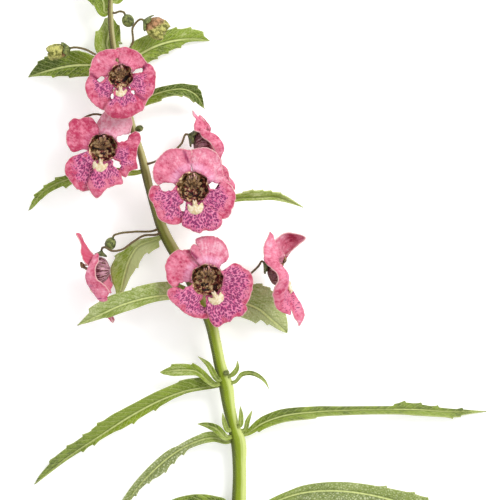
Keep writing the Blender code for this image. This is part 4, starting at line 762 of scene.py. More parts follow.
def petal_back():
    """Paler lobes behind, and the pouch with maroon streaks over dull pink, the pink partly painted
    highlight, with painted glints.
    """
    n = Nodes("petal_back")
    place = n.millimetres()
    surface = n.surface()
    grain = n.noise(place, 1.1, 5, 0.65)
    streaks = n.noise(n.scaled(surface, (1.9, 0.25, 1.0)), 1.0, 3, 0.6)
    pink = n.mix(n.step(streaks, 0.35, 0.7), seen(240, 150, 174), seen(216, 96, 128))
    pink = n.mix(n.step(grain, 0.52, 0.74, 0, 0.6), pink, seen(204, 78, 110))
    pink = n.mix(n.step(grain, 0.45, 0.28, 0, 0.5), pink, seen(248, 184, 200))
    pink = n.mix(n.step(n.value("depth"), 0.55, 1.2), pink, seen(196, 56, 88))
    pink = n.mix(n.step(n.value("dots"), 0.1, 0.8, 0, 0.35), pink, seen(210, 84, 140))
    pink = n.mix(n.step(n.value("edge"), 0.968, 0.995, 0, 0.6), pink, seen(246, 192, 190))
    lines = n.noise(n.scaled(surface, (1.5, 0.35, 1.0)), 1.0, 3, 0.6)
    # maroon streaks over pale pink: the pale is partly the pouch's own pink and partly painted highlights
    pouch = n.mix(n.step(lines, 0.44, 0.58), seen(88, 26, 42), seen(212, 156, 172))
    pouch = n.mix(n.step(n.noise(place, 1.6), 0.55, 0.7, 0, 0.5), pouch, seen(140, 130, 84))
    pouch = n.mix(n.step(n.value("depth"), 0.5, 1.0, 0, 0.75), pouch, seen(92, 26, 26))
    # pale specks: painted glints
    pouch = n.mix(n.step(n.cells(place, 1.4), 0.3, 0.1, 0, 0.5), pouch, seen(226, 200, 176))
    colour = n.mix(n.step(n.value("throat"), 0.05, 0.5), pink, pouch)
    n.bump(n.plus(grain, streaks), 0.6, 0.35)
    return n.finish(colour, 0.55, Specular_IOR_Level=0.25)


def leaf_material(name, deep, middle, pale, vein):
    """A leaf's skin with a pale midrib, side veins that run on towards the tip, and a fine net of veins."""
    n = Nodes(name)
    place = n.millimetres()
    x, y, _ = n.parts(n.surface())
    off_middle = n.math("ABSOLUTE", x)
    grain = n.noise(place, 1.6, 5, 0.7)
    fibre = n.noise(n.scaled(n.surface(), (1.6, 0.22, 1.0)), 1.0, 3, 0.6)
    # each half's own paleness together with painted shade on the half turned from the light, varied by
    # noise
    tone = n.swing(n.noise(place, 0.16, 2), 1.1, n.value("tone"))
    tone = n.swing(grain, 0.8, tone)
    tone = n.swing(fibre, 0.9, tone)
    net = n.cells(place, 1.25, "DISTANCE_TO_EDGE")
    sway = n.swing(n.noise(place, 0.5), 1.2)
    run = n.plus(n.minus(y, n.times(off_middle, 1.7)), sway)
    side = n.step(n.math("PINGPONG", run, 1.3), 0.3, 0.03)
    # painted shade: a darker band just beside each side vein
    shade_beside_vein = n.step(n.math("PINGPONG", n.plus(run, 0.45), 1.3), 0.5, 0.1)
    tone = n.math("MULTIPLY_ADD", shade_beside_vein, -0.1, tone)
    colour = n.mix(n.step(tone, 0.0, 0.5), deep, middle)
    colour = n.mix(n.step(tone, 0.5, 1.0), colour, pale)
    colour = n.mix(n.value("sunny"), colour, seen(136, 158, 8))
    meshed = n.math("MULTIPLY_ADD", grain, 0.6, net)
    grey = n.mix(n.step(meshed, 0.36, 0.62), seen(92, 104, 60), seen(206, 212, 172))
    colour = n.mix(n.value("dull"), colour, grey)
    colour = n.mix(n.step(net, 0.1, 0.0, 0, 0.25), colour, vein)
    broad = n.value("broad")
    middle_rib = n.times(n.step(off_middle, 0.5, 0.26), n.math("MULTIPLY_ADD", broad, 0.6, 0.4))
    colour = n.mix(n.times(side, 0.35), colour, vein)
    # painted shade: a dark line beside the pale midrib
    shade_beside_rib = n.times(n.step(off_middle, 1.0, 0.5, 0, 0.3), broad)
    colour = n.mix(shade_beside_rib, colour, deep)
    colour = n.mix(n.times(middle_rib, 0.9), colour, vein)
    colour = n.mix(n.step(n.value("edge"), 0.9, 1.0, 0, 0.55), colour, vein)
    glints = n.cells(place, 3.0)
    colour = n.mix(n.step(glints, 0.18, 0.05, 0, 0.3), colour, vein)
    height = n.minus(n.times(n.step(net, 0.0, 0.2), 0.4), side)
    height = n.minus(height, n.times(middle_rib, 1.5))
    n.bump(n.plus(height, grain), 0.6, 0.3)
    return n.finish(colour, 0.5, Specular_IOR_Level=0.25)


def stem_material():
    """Yellow-green below and olive towards the tip, with painted shade along its left side and a painted
    highlight along its right.
    """
    n = Nodes("stem_skin")
    place = n.millimetres()
    _, y, _ = n.parts(place)
    grooves = n.noise(n.scaled(n.surface(), (2.0, 0.10, 1.0)), 1.0, 4, 0.65)
    side = n.plus(n.value("side"), n.swing(grooves, 0.9))
    # painted shade on the left side and a painted highlight on the right side, in the green below and the
    # olive above
    green = n.mix(n.step(side, -0.85, -0.2), seen(86, 98, 6), seen(140, 160, 30))
    green = n.mix(n.step(side, 0.05, 0.7), green, seen(212, 224, 136))
    olive = n.mix(n.step(side, -0.85, -0.2), seen(86, 70, 40), seen(130, 116, 74))
    olive = n.mix(n.step(side, 0.05, 0.6), olive, seen(194, 186, 134))
    colour = n.mix(n.step(y, -35.0, 50.0, 0, 0.9), green, olive)
    colour = n.mix(n.value("cut"), colour, seen(206, 214, 140))
    # pale specks: painted glints on the glandular hairs
    fine = n.cells(place, 2.6)
    colour = n.mix(n.step(fine, 0.18, 0.05, 0, 0.4), colour, seen(234, 238, 176))
    n.bump(n.minus(grooves, n.times(fine, 0.3)), 0.6, 0.4)
    return n.finish(colour, 0.45, Specular_IOR_Level=0.25)


def plain_material(name, dark, light, speck, scale=0.9, roughness=0.5):
    """Two tones in soft blotches, with fine pale specks that are painted glints on glandular hairs. Stalks
    are browner.
    """
    n = Nodes(name)
    place = n.millimetres()
    grain = n.noise(place, scale, 4, 0.65)
    colour = n.mix(n.step(grain, 0.38, 0.62), dark, light)
    colour = n.mix(n.step(n.value("stalk"), 0.2, 0.8, 0, 0.75), colour, seen(112, 84, 56))
    # pale specks: painted glints on glandular hairs
    specks = n.cells(place, 2.4)
    colour = n.mix(n.step(specks, 0.22, 0.06, 0, 0.55), colour, speck)
    n.bump(n.minus(grain, specks), 0.5, 0.3)
    return n.finish(colour, roughness, Specular_IOR_Level=0.3)


def bud_petal_material():
    """Salmon above, yellow-green below and at the lips, dark where the lips open."""
    n = Nodes("bud_petal_skin")
    place = n.millimetres()
    grain = n.noise(place, 0.9, 4, 0.65)
    salmon = n.mix(n.step(grain, 0.38, 0.62), seen(118, 88, 48), seen(200, 148, 106))
    lime = n.mix(n.step(grain, 0.38, 0.62), seen(96, 98, 26), seen(204, 200, 112))
    colour = n.mix(n.step(n.value("lime"), 0.2, 0.7), salmon, lime)
    colour = n.mix(n.step(n.value("inside"), 0.2, 0.8), colour, seen(70, 56, 24))
    # pale specks: painted glints on glandular hairs
    specks = n.cells(place, 2.4)
    colour = n.mix(n.step(specks, 0.22, 0.06, 0, 0.5), colour, seen(240, 226, 180))
    n.bump(n.minus(grain, specks), 0.5, 0.3)
    return n.finish(colour, 0.5, Specular_IOR_Level=0.3)


def tooth_material():
    """Cream above, rosy round the foot."""
    n = Nodes("tooth_skin")
    place = n.millimetres()
    grain = n.noise(place, 1.4, 3)
    cream = n.mix(n.step(grain, 0.35, 0.7), seen(220, 196, 148), seen(246, 234, 210))
    rosy = n.mix(n.step(grain, 0.4, 0.6), seen(186, 92, 104), seen(226, 184, 150))
    colour = n.mix(n.step(n.value("high"), 0.1, 0.42), rosy, cream)
    n.bump(n.plus(grain, n.cells(place, 3.0)), 0.4, 0.3)
    return n.finish(colour, 0.45, Specular_IOR_Level=0.3)


MATERIALS = {
    "petal_front": petal_front(),
    "petal_back": petal_back(),
    "leaf": leaf_material(
        "leaf_skin", seen(70, 90, 0), seen(134, 156, 42), seen(202, 212, 146), seen(220, 230, 150)
    ),
    "leaf_under": leaf_material(
        "leaf_under_skin", seen(110, 122, 66), seen(160, 170, 112), seen(206, 212, 168), seen(222, 228, 182)
    ),
    "stem": stem_material(),
    "calyx": plain_material("calyx_skin", seen(58, 66, 30), seen(120, 124, 74), seen(200, 204, 150)),
    "bud": plain_material("bud_skin", seen(66, 76, 30), seen(138, 148, 80), seen(212, 216, 150)),
    "bud_petal": bud_petal_material(),
    "tooth": tooth_material(),
    "anther": plain_material("anther_skin", seen(74, 44, 30), seen(164, 126, 84), seen(244, 218, 180), 1.2),
    "hair": plain_material("hair_skin", seen(158, 166, 104), seen(204, 210, 160), seen(240, 242, 214)),
    "filament": plain_material(
        "filament_skin", seen(190, 120, 116), seen(236, 190, 180), seen(250, 226, 214)
    ),
}


def add_piece(name, points, faces, materials, nodes=(), thickness=0.0, surface=None, values=None):
    """A mesh piece from points in mm. With a thickness, the faces are the middle of a thin blade."""
    mesh = bpy.data.meshes.new(name)
    mesh.from_pydata([(Vector(point) - CENTRE) * MM for point in points], [], faces)
    if surface is not None:
        layer = mesh.uv_layers.new(name="surface")
        for loop in mesh.loops:
            layer.data[loop.index].uv = surface[loop.vertex_index]
    for key, numbers in (values or {}).items():
        mesh.attributes.new(key, "FLOAT", "POINT").data.foreach_set("value", np.array(numbers, np.float32))
    mesh.update()
    mesh.shade_smooth()
    for key in materials:
        mesh.materials.append(MATERIALS[key])
    obj = bpy.data.objects.new(name, mesh)
    bpy.context.scene.collection.objects.link(obj)
    if thickness:
        solidify = obj.modifiers.new("Thickness", "SOLIDIFY")
        solidify.thickness = thickness * MM
        solidify.offset = 0.0
        solidify.material_offset = len(materials) - 1
    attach(obj, "root")
    if nodes:
        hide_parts(*nodes)


def note(values, **numbers):
    """Adds one point's numbers to the lists of values. What isn't given is 0."""
    for key, found in values.items():
        found.append(numbers.get(key, 0.0))


def loft(rings, start=None, end=None):
    """Points and faces of a closed body through rings of points, with a point or a flat cap at each end."""
    sides = len(rings[0])
    points = [point for ring in rings for point in ring]
    faces = []
    for row in range(len(rings) - 1):
        for k in range(sides):
            j = (k + 1) % sides
            faces.append((row * sides + k, row * sides + j, (row + 1) * sides + j, (row + 1) * sides + k))
    first = list(range(sides))[::-1]
    last = list(range((len(rings) - 1) * sides, len(rings) * sides))
    for ring, tip in ((first, start), (last, end)):
        if tip is None:
            faces.append(tuple(ring))
            continue
        points.append(tip)
        for k in range(sides):
            faces.append((ring[k], ring[(k + 1) % sides], len(points) - 1))
    return points, faces


HAIR_LONG = 0.3
HAIR_HALF = 0.03
HAIR_STRAY = 0.7  # how far a hair can lean from straight out
HAIR_CORNERS = (0, 2.1, 4.2)  # radians round its root
STEM_HAIRS, CALYX_HAIRS, BUD_HAIRS = 6000, 300, 160
# The fractions left in the multiples of these numbers spread evenly, over the faces and over each face.
FACE_STEP = 0.618034
ALONG_STEP, ACROSS_STEP = 0.754878, 0.569840


def build_hairs(name, skin, count):
    """Short pointed hairs that stand on a skin's faces, each with three sides."""
    skin_points, skin_faces = skin
    points, faces = [], []
    for k in range(count):
        face = skin_faces[int(k * FACE_STEP % 1 * len(skin_faces))]
        corner, second, third = (skin_points[number] for number in face[:3])
        normal = (second - corner).cross(third - corner)
        if normal.length < 1e-6:
            continue
        normal.normalize()
        along, beside = k * ALONG_STEP % 1, k * ACROSS_STEP % 1
        root = corner + (second - corner) * along + (third - second) * beside * along
        stray = noise.noise_vector(root * 3.1 + Vector((k, 0, 0)))
        across = (second - corner).normalized()
        upward = normal.cross(across)
        tip = root + (normal + stray * HAIR_STRAY) * HAIR_LONG * (1 + stray.x)
        foot = len(points)
        for angle in HAIR_CORNERS:
            points.append(root + (across * math.cos(angle) + upward * math.sin(angle)) * HAIR_HALF)
        points.append(tip)
        faces += [(foot, foot + 1, foot + 3), (foot + 1, foot + 2, foot + 3), (foot + 2, foot, foot + 3)]
        faces.append((foot, foot + 2, foot + 1))
    add_piece(name, points, faces, ["hair"])


def circle(middle, across, upward, radius, sides):
    """A ring of points."""
    ring = []
    for k in range(sides):
        angle = 2 * math.pi * k / sides
        ring.append(middle + across * (radius * math.cos(angle)) + upward * (radius * math.sin(angle)))
    return ring


STEM_SIDES = 40
STEM_RINGS = 240
STEM_RIDGE = 0.045  # height of the four low ridges, as a share of the radius
STEM_ROUGH = 0.02  # height of its unevenness, as a share of the radius
CUT_FLAT = 0.86  # the cut end is flat inside this share of its radius
HAIRLESS = 4  # rings at the cut end that have no hairs


def build_stem():
    """The stem's skin, with four low ridges, a cut end below and its growing tip under the last bud."""
    rings, surface, side = [], [(0.0, 0.0)] * STEM_SIDES, [0.0] * STEM_SIDES
    for step in range(STEM_RINGS):
        share = step / (STEM_RINGS - 1)
        middle, radius, right, up = stem_frame(share)
        ring = []
        for k in range(STEM_SIDES):
            angle = 2 * math.pi * k / STEM_SIDES
            ridge = 1 + STEM_RIDGE * math.cos(4 * angle + 0.5) - 0.5 * STEM_RIDGE
            spot = Vector((3 * math.cos(angle), 3 * math.sin(angle), share * 40))
            wide = radius * ridge * (1 + STEM_ROUGH * noise.noise(spot))
            ring.append(middle + (up * math.cos(angle) + right * math.sin(angle)) * wide)
            surface.append((angle * radius, share * STEM_PATH.length))
            # how far round to the right each point lies, which places the painted shade on the left and the
            # painted highlight on the right
            side.append(math.sin(angle))
        rings.append(ring)
    middle = sum(rings[0], Vector()) / STEM_SIDES
    rings.insert(0, [middle + (point - middle) * CUT_FLAT for point in rings[0]])
    points, faces = loft(rings)
    values = {"side": side, "cut": [1.0] * STEM_SIDES + [0.0] * (STEM_SIDES * STEM_RINGS)}
    add_piece("stem_skin", points, faces, ["stem"], ["stem"], surface=surface, values=values)
    build_hairs("stem_hairs", (points, faces[STEM_SIDES * HAIRLESS : -2]), STEM_HAIRS)


def name_seed(name):
    """A number that is always the same for a name."""
    return sum(ord(letter) for letter in name)


def fade(value, start, end):
    """0 at the start, 1 at the end, straight between them."""
    return min(1.0, max(0.0, (value - start) / (end - start)))


ROW_SPACING = 0.27  # mm between two rows of a leaf's points
LEAF_COLUMNS = 14
LEAF_CLEAR = 1.2  # mm that a leaf first runs straight out from the stem
PETIOLE_HALF = 0.6  # half width of a leaf at its foot
ROLL_REACHED = 0.25  # share of the midrib at which the roll is complete
TOOTHED_FROM, TOOTHED_TO = 0.3, 0.95  # where a plain leaf has its teeth
TOOTH_HIGH = 0.7
TOOTH_CLIMB = 2.6  # mm of the edge over which a tooth rises before it drops
TOOTH_ROOT, TOOTH_BAND = 0.55, 0.45  # where on its way to the edge a leaf starts to stretch into a tooth
WIDTH_SAMPLES = 200
GROOVE_DEEP, GROOVE_HALF = 0.16, 0.35  # of the midrib's groove
RIPPLE = 0.12
CURL = 0.25  # how far the edges turn down
HALVES_BLEND = 0.15  # mm on each side of the midrib over which the halves' looks blend
TIP_DARKER = 0.8
SUN = 0.65  # how yellow-green a leaf is where light falls through it
STALK_SUN = 0.6  # the same at its foot


def blade_outline(t):
    """Half width of a lance-shaped blade, as a share of its widest."""
    return math.sin(math.pi * t**0.8) ** 0.85 if 0 < t < 1 else 0.0


def tooth_edge(before):
    """Height of the edge this far before a tooth's end, in mm."""
    return TOOTH_HIGH * (1 - before / TOOTH_CLIMB) ** 1.6 if 0 <= before < TOOTH_CLIMB else 0.0


def leaf_halves(spec, length):
    """A function that gives a half's width, and how far a tooth stands out, at a share of the midrib."""
    made = []
    for number, side in enumerate(("left", "right")):
        if side in spec:
            rows = [(0.0, PETIOLE_HALF), *spec[side], (1.0, 0.0)]
            line = Path([(*row, 0.0) for row in rows])
            samples = np.array([line.row(k / WIDTH_SAMPLES)[:2] for k in range(WIDTH_SAMPLES + 1)])
            teeth = spec["teeth"][number]
        else:
            half, samples = spec["halves"][number], []
            for t in np.linspace(0, 1, WIDTH_SAMPLES + 1):
                samples.append((t, max(half * blade_outline(t), PETIOLE_HALF * (1 - t) ** 0.5)))
            samples = np.array(samples)
            count = spec["tooth_count"]
            pitch = (TOOTHED_TO - TOOTHED_FROM) / max(count, 1)
            teeth = [TOOTHED_FROM + pitch * (k + 0.9 - 0.4 * number) for k in range(count)]
        made.append((samples, teeth))

    def half_width(number, t):
        samples, teeth = made[number]
        width = float(np.interp(t, samples[:, 0], samples[:, 1]))
        tooth = sum(tooth_edge((end - t) * length) for end in teeth)
        return width, tooth

    return half_width


def sunlit(sunny, share, t):
    """How yellow-green the leaf is here: share is 0 to the left of the midrib and 1 to its right."""
    lit = STALK_SUN * fade(t, 0.2, 0.0)
    for weight, (start, end) in zip((1 - share, share), sunny):
        if end > start:
            lit += SUN * weight * fade(t, end, end - 0.2) * (fade(t, start, start + 0.15) if start else 1.0)
    return lit


def build_leaf(name, spec):
    """One leaf's blade, from its seat on the stem along its midrib, row by row from left to right."""
    base, out = seat_on_stem(*spec["seat"])
    path = Path([base, base + out * LEAF_CLEAR] + [Vector(point) for point in spec["midrib"]])
    seed = name_seed(name)
    half_width = leaf_halves(spec, path.length)
    tones, dull = spec["tone"], spec["dull"]
    fold = math.radians(spec["fold"])
    count = int(path.length / ROW_SPACING)
    points, surface = [], []
    values = {"edge": [], "tone": [], "sunny": [], "broad": [], "dull": []}
    for row in range(count):
        t = row / (count - 0.6)
        along = path.direction(t)
        level = UP.cross(along).normalized()
        roll = math.radians(spec["roll"] * min(1.0, t / ROLL_REACHED))
        left = Matrix.Rotation(roll, 3, along) @ level
        normal = along.cross(left)
        for column in range(LEAF_COLUMNS + 1):
            side = 1 - 2 * column / LEAF_COLUMNS
            width, tooth = half_width(0 if side > 0 else 1, t)
            sign = 1 if side > 0 else -1
            way = left * (sign * math.cos(fold)) + normal * math.sin(fold)
            if "left" in spec:
                width /= abs(way.dot(level))
            reach = abs(side) * width + tooth * max(0.0, abs(side) - TOOTH_ROOT) / TOOTH_BAND
            groove = -GROOVE_DEEP * math.exp(-((reach / GROOVE_HALF) ** 2)) * min(1.0, width)
            ripple = RIPPLE * width / 3 * abs(side) * noise.noise(Vector((t * 9, side, seed)))
            edge_curl = -CURL * abs(side) ** 4 * width / 3
            points.append(path.point(t) + way * reach + normal * (groove + ripple + edge_curl))
            surface.append((sign * reach, t * path.length))
            share = fade(side * width, HALVES_BLEND, -HALVES_BLEND)
            tip = TIP_DARKER * fade(t, 0.96, 0.99)
            # tone blends the halves' own paleness and painted shade across the midrib
            note(
                values,
                edge=abs(side),
                tone=tones[0] * (1 - share) + tones[1] * share - tip,
                sunny=sunlit(spec["sunny"], share, t),
                broad=fade(width, 0.8, 2.0),
                dull=(dull[0] * (1 - share) + dull[1] * share) * fade(t, 0.1, 0.3),
            )
    faces = []
    wide = LEAF_COLUMNS + 1
    for row in range(count - 1):
        for column in range(LEAF_COLUMNS):
            corner = row * wide + column
            faces.append((corner, corner + 1, corner + wide + 1, corner + wide))
    tip = len(points)
    points.append(path.point(1.0))
    surface.append((0.0, path.length))
    note(values, edge=0.5, tone=tones[0])
    last = (count - 1) * wide
    for column in range(LEAF_COLUMNS):
        faces.append((last + column, last + column + 1, tip))
    skins = ["leaf", "leaf_under"]
    add_piece(f"{name}_blade", points, faces, skins, [name], LEAF, surface, values)


RIM_BEND = 0.22  # how uneven the pouch's mouth is, as a share of its radius
FRILL = 0.24  # height of the small teeth along a lobe's edge
HOLE_SQUEEZE = 0.5  # mm beside an opening into which the lobe is squeezed
HOLE_RAGGED = 0.7
HOLE_LIP = 0.5  # how far past an opening its pale lip reaches, as a share of the opening
PROFILE_BULGE = 0.8
SEAM_REACH = (3.8, 5.2)  # mm past the mouth, at size 1, over which a lobe's seam turns into a free rim


class Crease:
    """A sharp crease in a flower's lobes, drawn as a line of painted shade."""

    def __init__(self, row):
        self.start, self.end, self.half = np.array(row[:2]), np.array(row[2:4]), row[4]

    def at(self, flat):
        """1 on the crease, and 0 from its half width on."""
        run = self.end - self.start
        share = np.clip((np.array(flat) - self.start) @ run / (run @ run), 0, 1)
        return fade(np.linalg.norm(np.array(flat) - self.start - run * share), self.half, self.half * 0.2)


class Flower:
    """The frame and the curved surfaces of one flower, in millimetres."""

    def __init__(self, name, spec):
        self.throat = Vector(spec["throat"])
        self.ahead = Vector(spec["faces"]).normalized()
        up = Vector(spec["up"])
        self.up = (up - self.ahead * up.dot(self.ahead)).normalized()
        self.across = self.up.cross(self.ahead)
        self.spec = spec
        self.size = spec["size"]
        self.lobes = spec["lobes"]
        self.outlines = [Path([(*point, 0) for point in outline]) for outline in spec["outlines"]]
        self.creases = [Crease(row) for row in spec["creases"]]
        self.profiles = {}
        for index, lines in spec["profiles"].items():
            self.profiles[index] = [Path(line) for line in lines]
        self.behind = POUCH_BEHIND * self.size
        self.wide = POUCH_WIDE * self.size
        self.deep = POUCH_DEPTH * self.size - self.behind
        self.seed = float(name_seed(name))

    def place(self, across, up, ahead):
        """The point at these distances from the throat's middle."""
        return self.throat + self.across * across + self.up * up + self.ahead * ahead

    def on_pouch(self, direction, outward=0.0):
        """The point of the pouch in this direction from its middle; the direction is given in the frame."""
        wide, deep = self.wide + outward, self.deep + outward
        return self.place(direction.x * wide, direction.y * wide, direction.z * deep - self.behind)

    def mouth_polar(self):
        """The angle from the pouch's back to its mouth."""
        return math.acos(-self.behind / self.deep)

    def mouth_radius(self):
        return self.wide * math.sin(self.mouth_polar())

    def lobe_arc(self, index):
        """Start and end of a lobe's root on the rim, in degrees."""
        middle = self.lobes[index][0]
        others = [lobe[0] for k, lobe in enumerate(self.lobes) if k != index]
        before = min((middle - other) % 360 for other in others)
        after = min((other - middle) % 360 for other in others)
        return middle - before / 2 + SINUS_HALF, middle + after / 2 - SINUS_HALF

    def seen_from_front(self, point):
        """Where a point lies across and up the flower."""
        off = point - self.throat
        return off.dot(self.across), off.dot(self.up)

    def rim_radius(self, angle):
        """Radius of the pouch's slightly uneven mouth in this direction."""
        bend = noise.noise(Vector((2 * math.cos(angle), 2 * math.sin(angle), self.seed)))
        return self.mouth_radius() * (1 + RIM_BEND * bend)

    def by_hole(self, flat):
        """1 on the lip of an opening between two lobes, and 0 a little further out."""
        nearest = 2.0
        for x, y, half_long, half_wide, turn in self.spec["holes"]:
            turned = math.radians(turn)
            along = ((flat[0] - x) * math.cos(turned) + (flat[1] - y) * math.sin(turned)) / half_long
            beside = ((flat[1] - y) * math.cos(turned) - (flat[0] - x) * math.sin(turned)) / half_wide
            nearest = min(nearest, math.hypot(along, beside))
        return fade(nearest, 1 + HOLE_LIP, 1.0)

    def past_holes(self, index, place):
        """Moves a lobe's place out of the openings beside the lobe, and squeezes what lies next to them."""
        heart = self.outlines[index].rows[:, :2].mean(axis=0)
        for x, y, half_long, half_wide, turn in self.spec["holes"]:
            turned = math.radians(turn)
            along = np.array((math.cos(turned), math.sin(turned)))
            beside = np.array((-along[1], along[0]))
            if (heart - (x, y)) @ beside < 0:
                beside = -beside
            length_share, off = (place - (x, y)) @ along / half_long, (place - (x, y)) @ beside
            if abs(length_share) >= 1:
                continue
            ragged = 1 + HOLE_RAGGED * noise.noise(Vector((length_share * 1.6, x, y + off * 0.3)))
            border = half_wide * math.sqrt(1 - length_share * length_share) * ragged
            inner = border + HOLE_SQUEEZE
            if off < inner:
                room = HOLE_SQUEEZE + border + half_wide
                moved = max(border, inner - (inner - off) * HOLE_SQUEEZE / room)
                place = place + beside * (moved - off)
        return place

    def lobe_root(self, index, side):
        """The mouth's radius at a lobe's root, and the place of that root across the flower."""
        start, end = self.lobe_arc(index)
        angle = math.radians((start + end) / 2 + side * (end - start) / 2)
        radius = self.rim_radius(angle)
        return radius, (radius * math.cos(angle), radius * math.sin(angle))

    def lobe_flat(self, index, side, t):
        """The place of a lobe's point across the flower, and how far its rise has come."""
        radius, root = self.lobe_root(index, side)
        root = np.array(root)
        if self.outlines:
            rim = self.outlines[index].row((side + 1) / 2)[:2]
            here = Vector((rim[0], rim[1], self.seed))
            frill = FRILL * (noise.noise(here * 1.1) + 0.5 * noise.noise(here * 2.7)) * (1 - side**6)
            rim = rim * (1 + frill / np.linalg.norm(rim))
            return self.past_holes(index, root * (1 - t) + rim * t), t**0.66
        middle = math.radians(self.lobes[index][0])
        reach, width = self.spec["plain"][index]
        out = np.array((math.cos(middle), math.sin(middle)))
        beside = np.array((-out[1], out[0]))
        ahead = radius + (reach - radius) * t * (1 - CORNER_DROP * abs(side) ** 3 * t)
        sideways = side * width / 2 * (1 - CORNER_NARROW * t**3)
        open_share = 1 - (1 - t) ** 2
        return root * (1 - open_share) + (out * ahead + beside * sideways) * open_share, t

    def profile_point(self, index, side, t):
        """A lobe that runs from the pouch's rim, over its crest where it has one, to its free edge."""
        root = self.place(*self.lobe_root(index, side)[1], 0)
        edge, *crest = (self.throat + line.point((side + 1) / 2) for line in self.profiles[index])
        if crest:
            pull = crest[0] * 2 - (root + edge) / 2
        else:
            pull = (root + edge) / 2 + self.ahead * PROFILE_BULGE
        point = root * (1 - t) ** 2 + pull * (2 * t * (1 - t)) + edge * t**2
        here = point * 0.34 + Vector((self.seed, 0, 0))
        ruffle = 0.5 * noise.noise(here) * t + 0.2 * noise.noise(here * 2.8) * t
        return point + self.ahead * ruffle

    def lobe_point(self, index, side, t):
        """A point of a lobe: side runs from -1 to 1 across it and t from 0 at the rim to 1 at its edge."""
        if index in self.profiles:
            return self.profile_point(index, side, t)
        flat, step = self.lobe_flat(index, side, t)
        _, rise_middle, rise_tip = self.lobes[index]
        rise = rise_middle * 4 * step * (1 - step) + rise_tip * step * (2 * step - 1)
        here = Vector((flat[0] * 0.34, flat[1] * 0.34, self.seed + 3 * index))
        ruffle = 0.7 * noise.noise(here) * t**1.5 + 0.3 * noise.noise(here * 2.8) * t**1.2
        ruffle += 0.05 * math.sin(side * 21) * t * (1.15 - t)
        return self.place(flat[0], flat[1], rise + ruffle)


def blush(row, side, t):
    """How strongly a lobe reddens at this place, from 0 to 1, given the row of its blush."""
    if row is None:
        return 0.0
    across, out, half_across, half_out, strength = row
    return strength * fade(math.hypot((side - across) / half_across, (t - out) / half_out), 1.0, 0.3)


LOBE_COLUMNS = 46
LOBE_STEPS = 26
POUCH_RINGS = 18
POUCH_ROUND, POUCH_LONG = 5.0, 6.0  # scale of the pouch's surface map, round it and from back to mouth
TRUE_AT = 7.0  # mm from the throat's middle at which the lobes' surface map is true
RIM_FROM, RIM_BAND, RIM_PALER = 0.86, 0.14, 0.7  # where the pouch's inside starts to turn into petal
SEAM_EDGE = 0.06  # how much less than a free rim a seam counts as an edge
DOTS_BLUR = (0.14, -0.2)  # share of a lobe's length past and before the place where its dots end


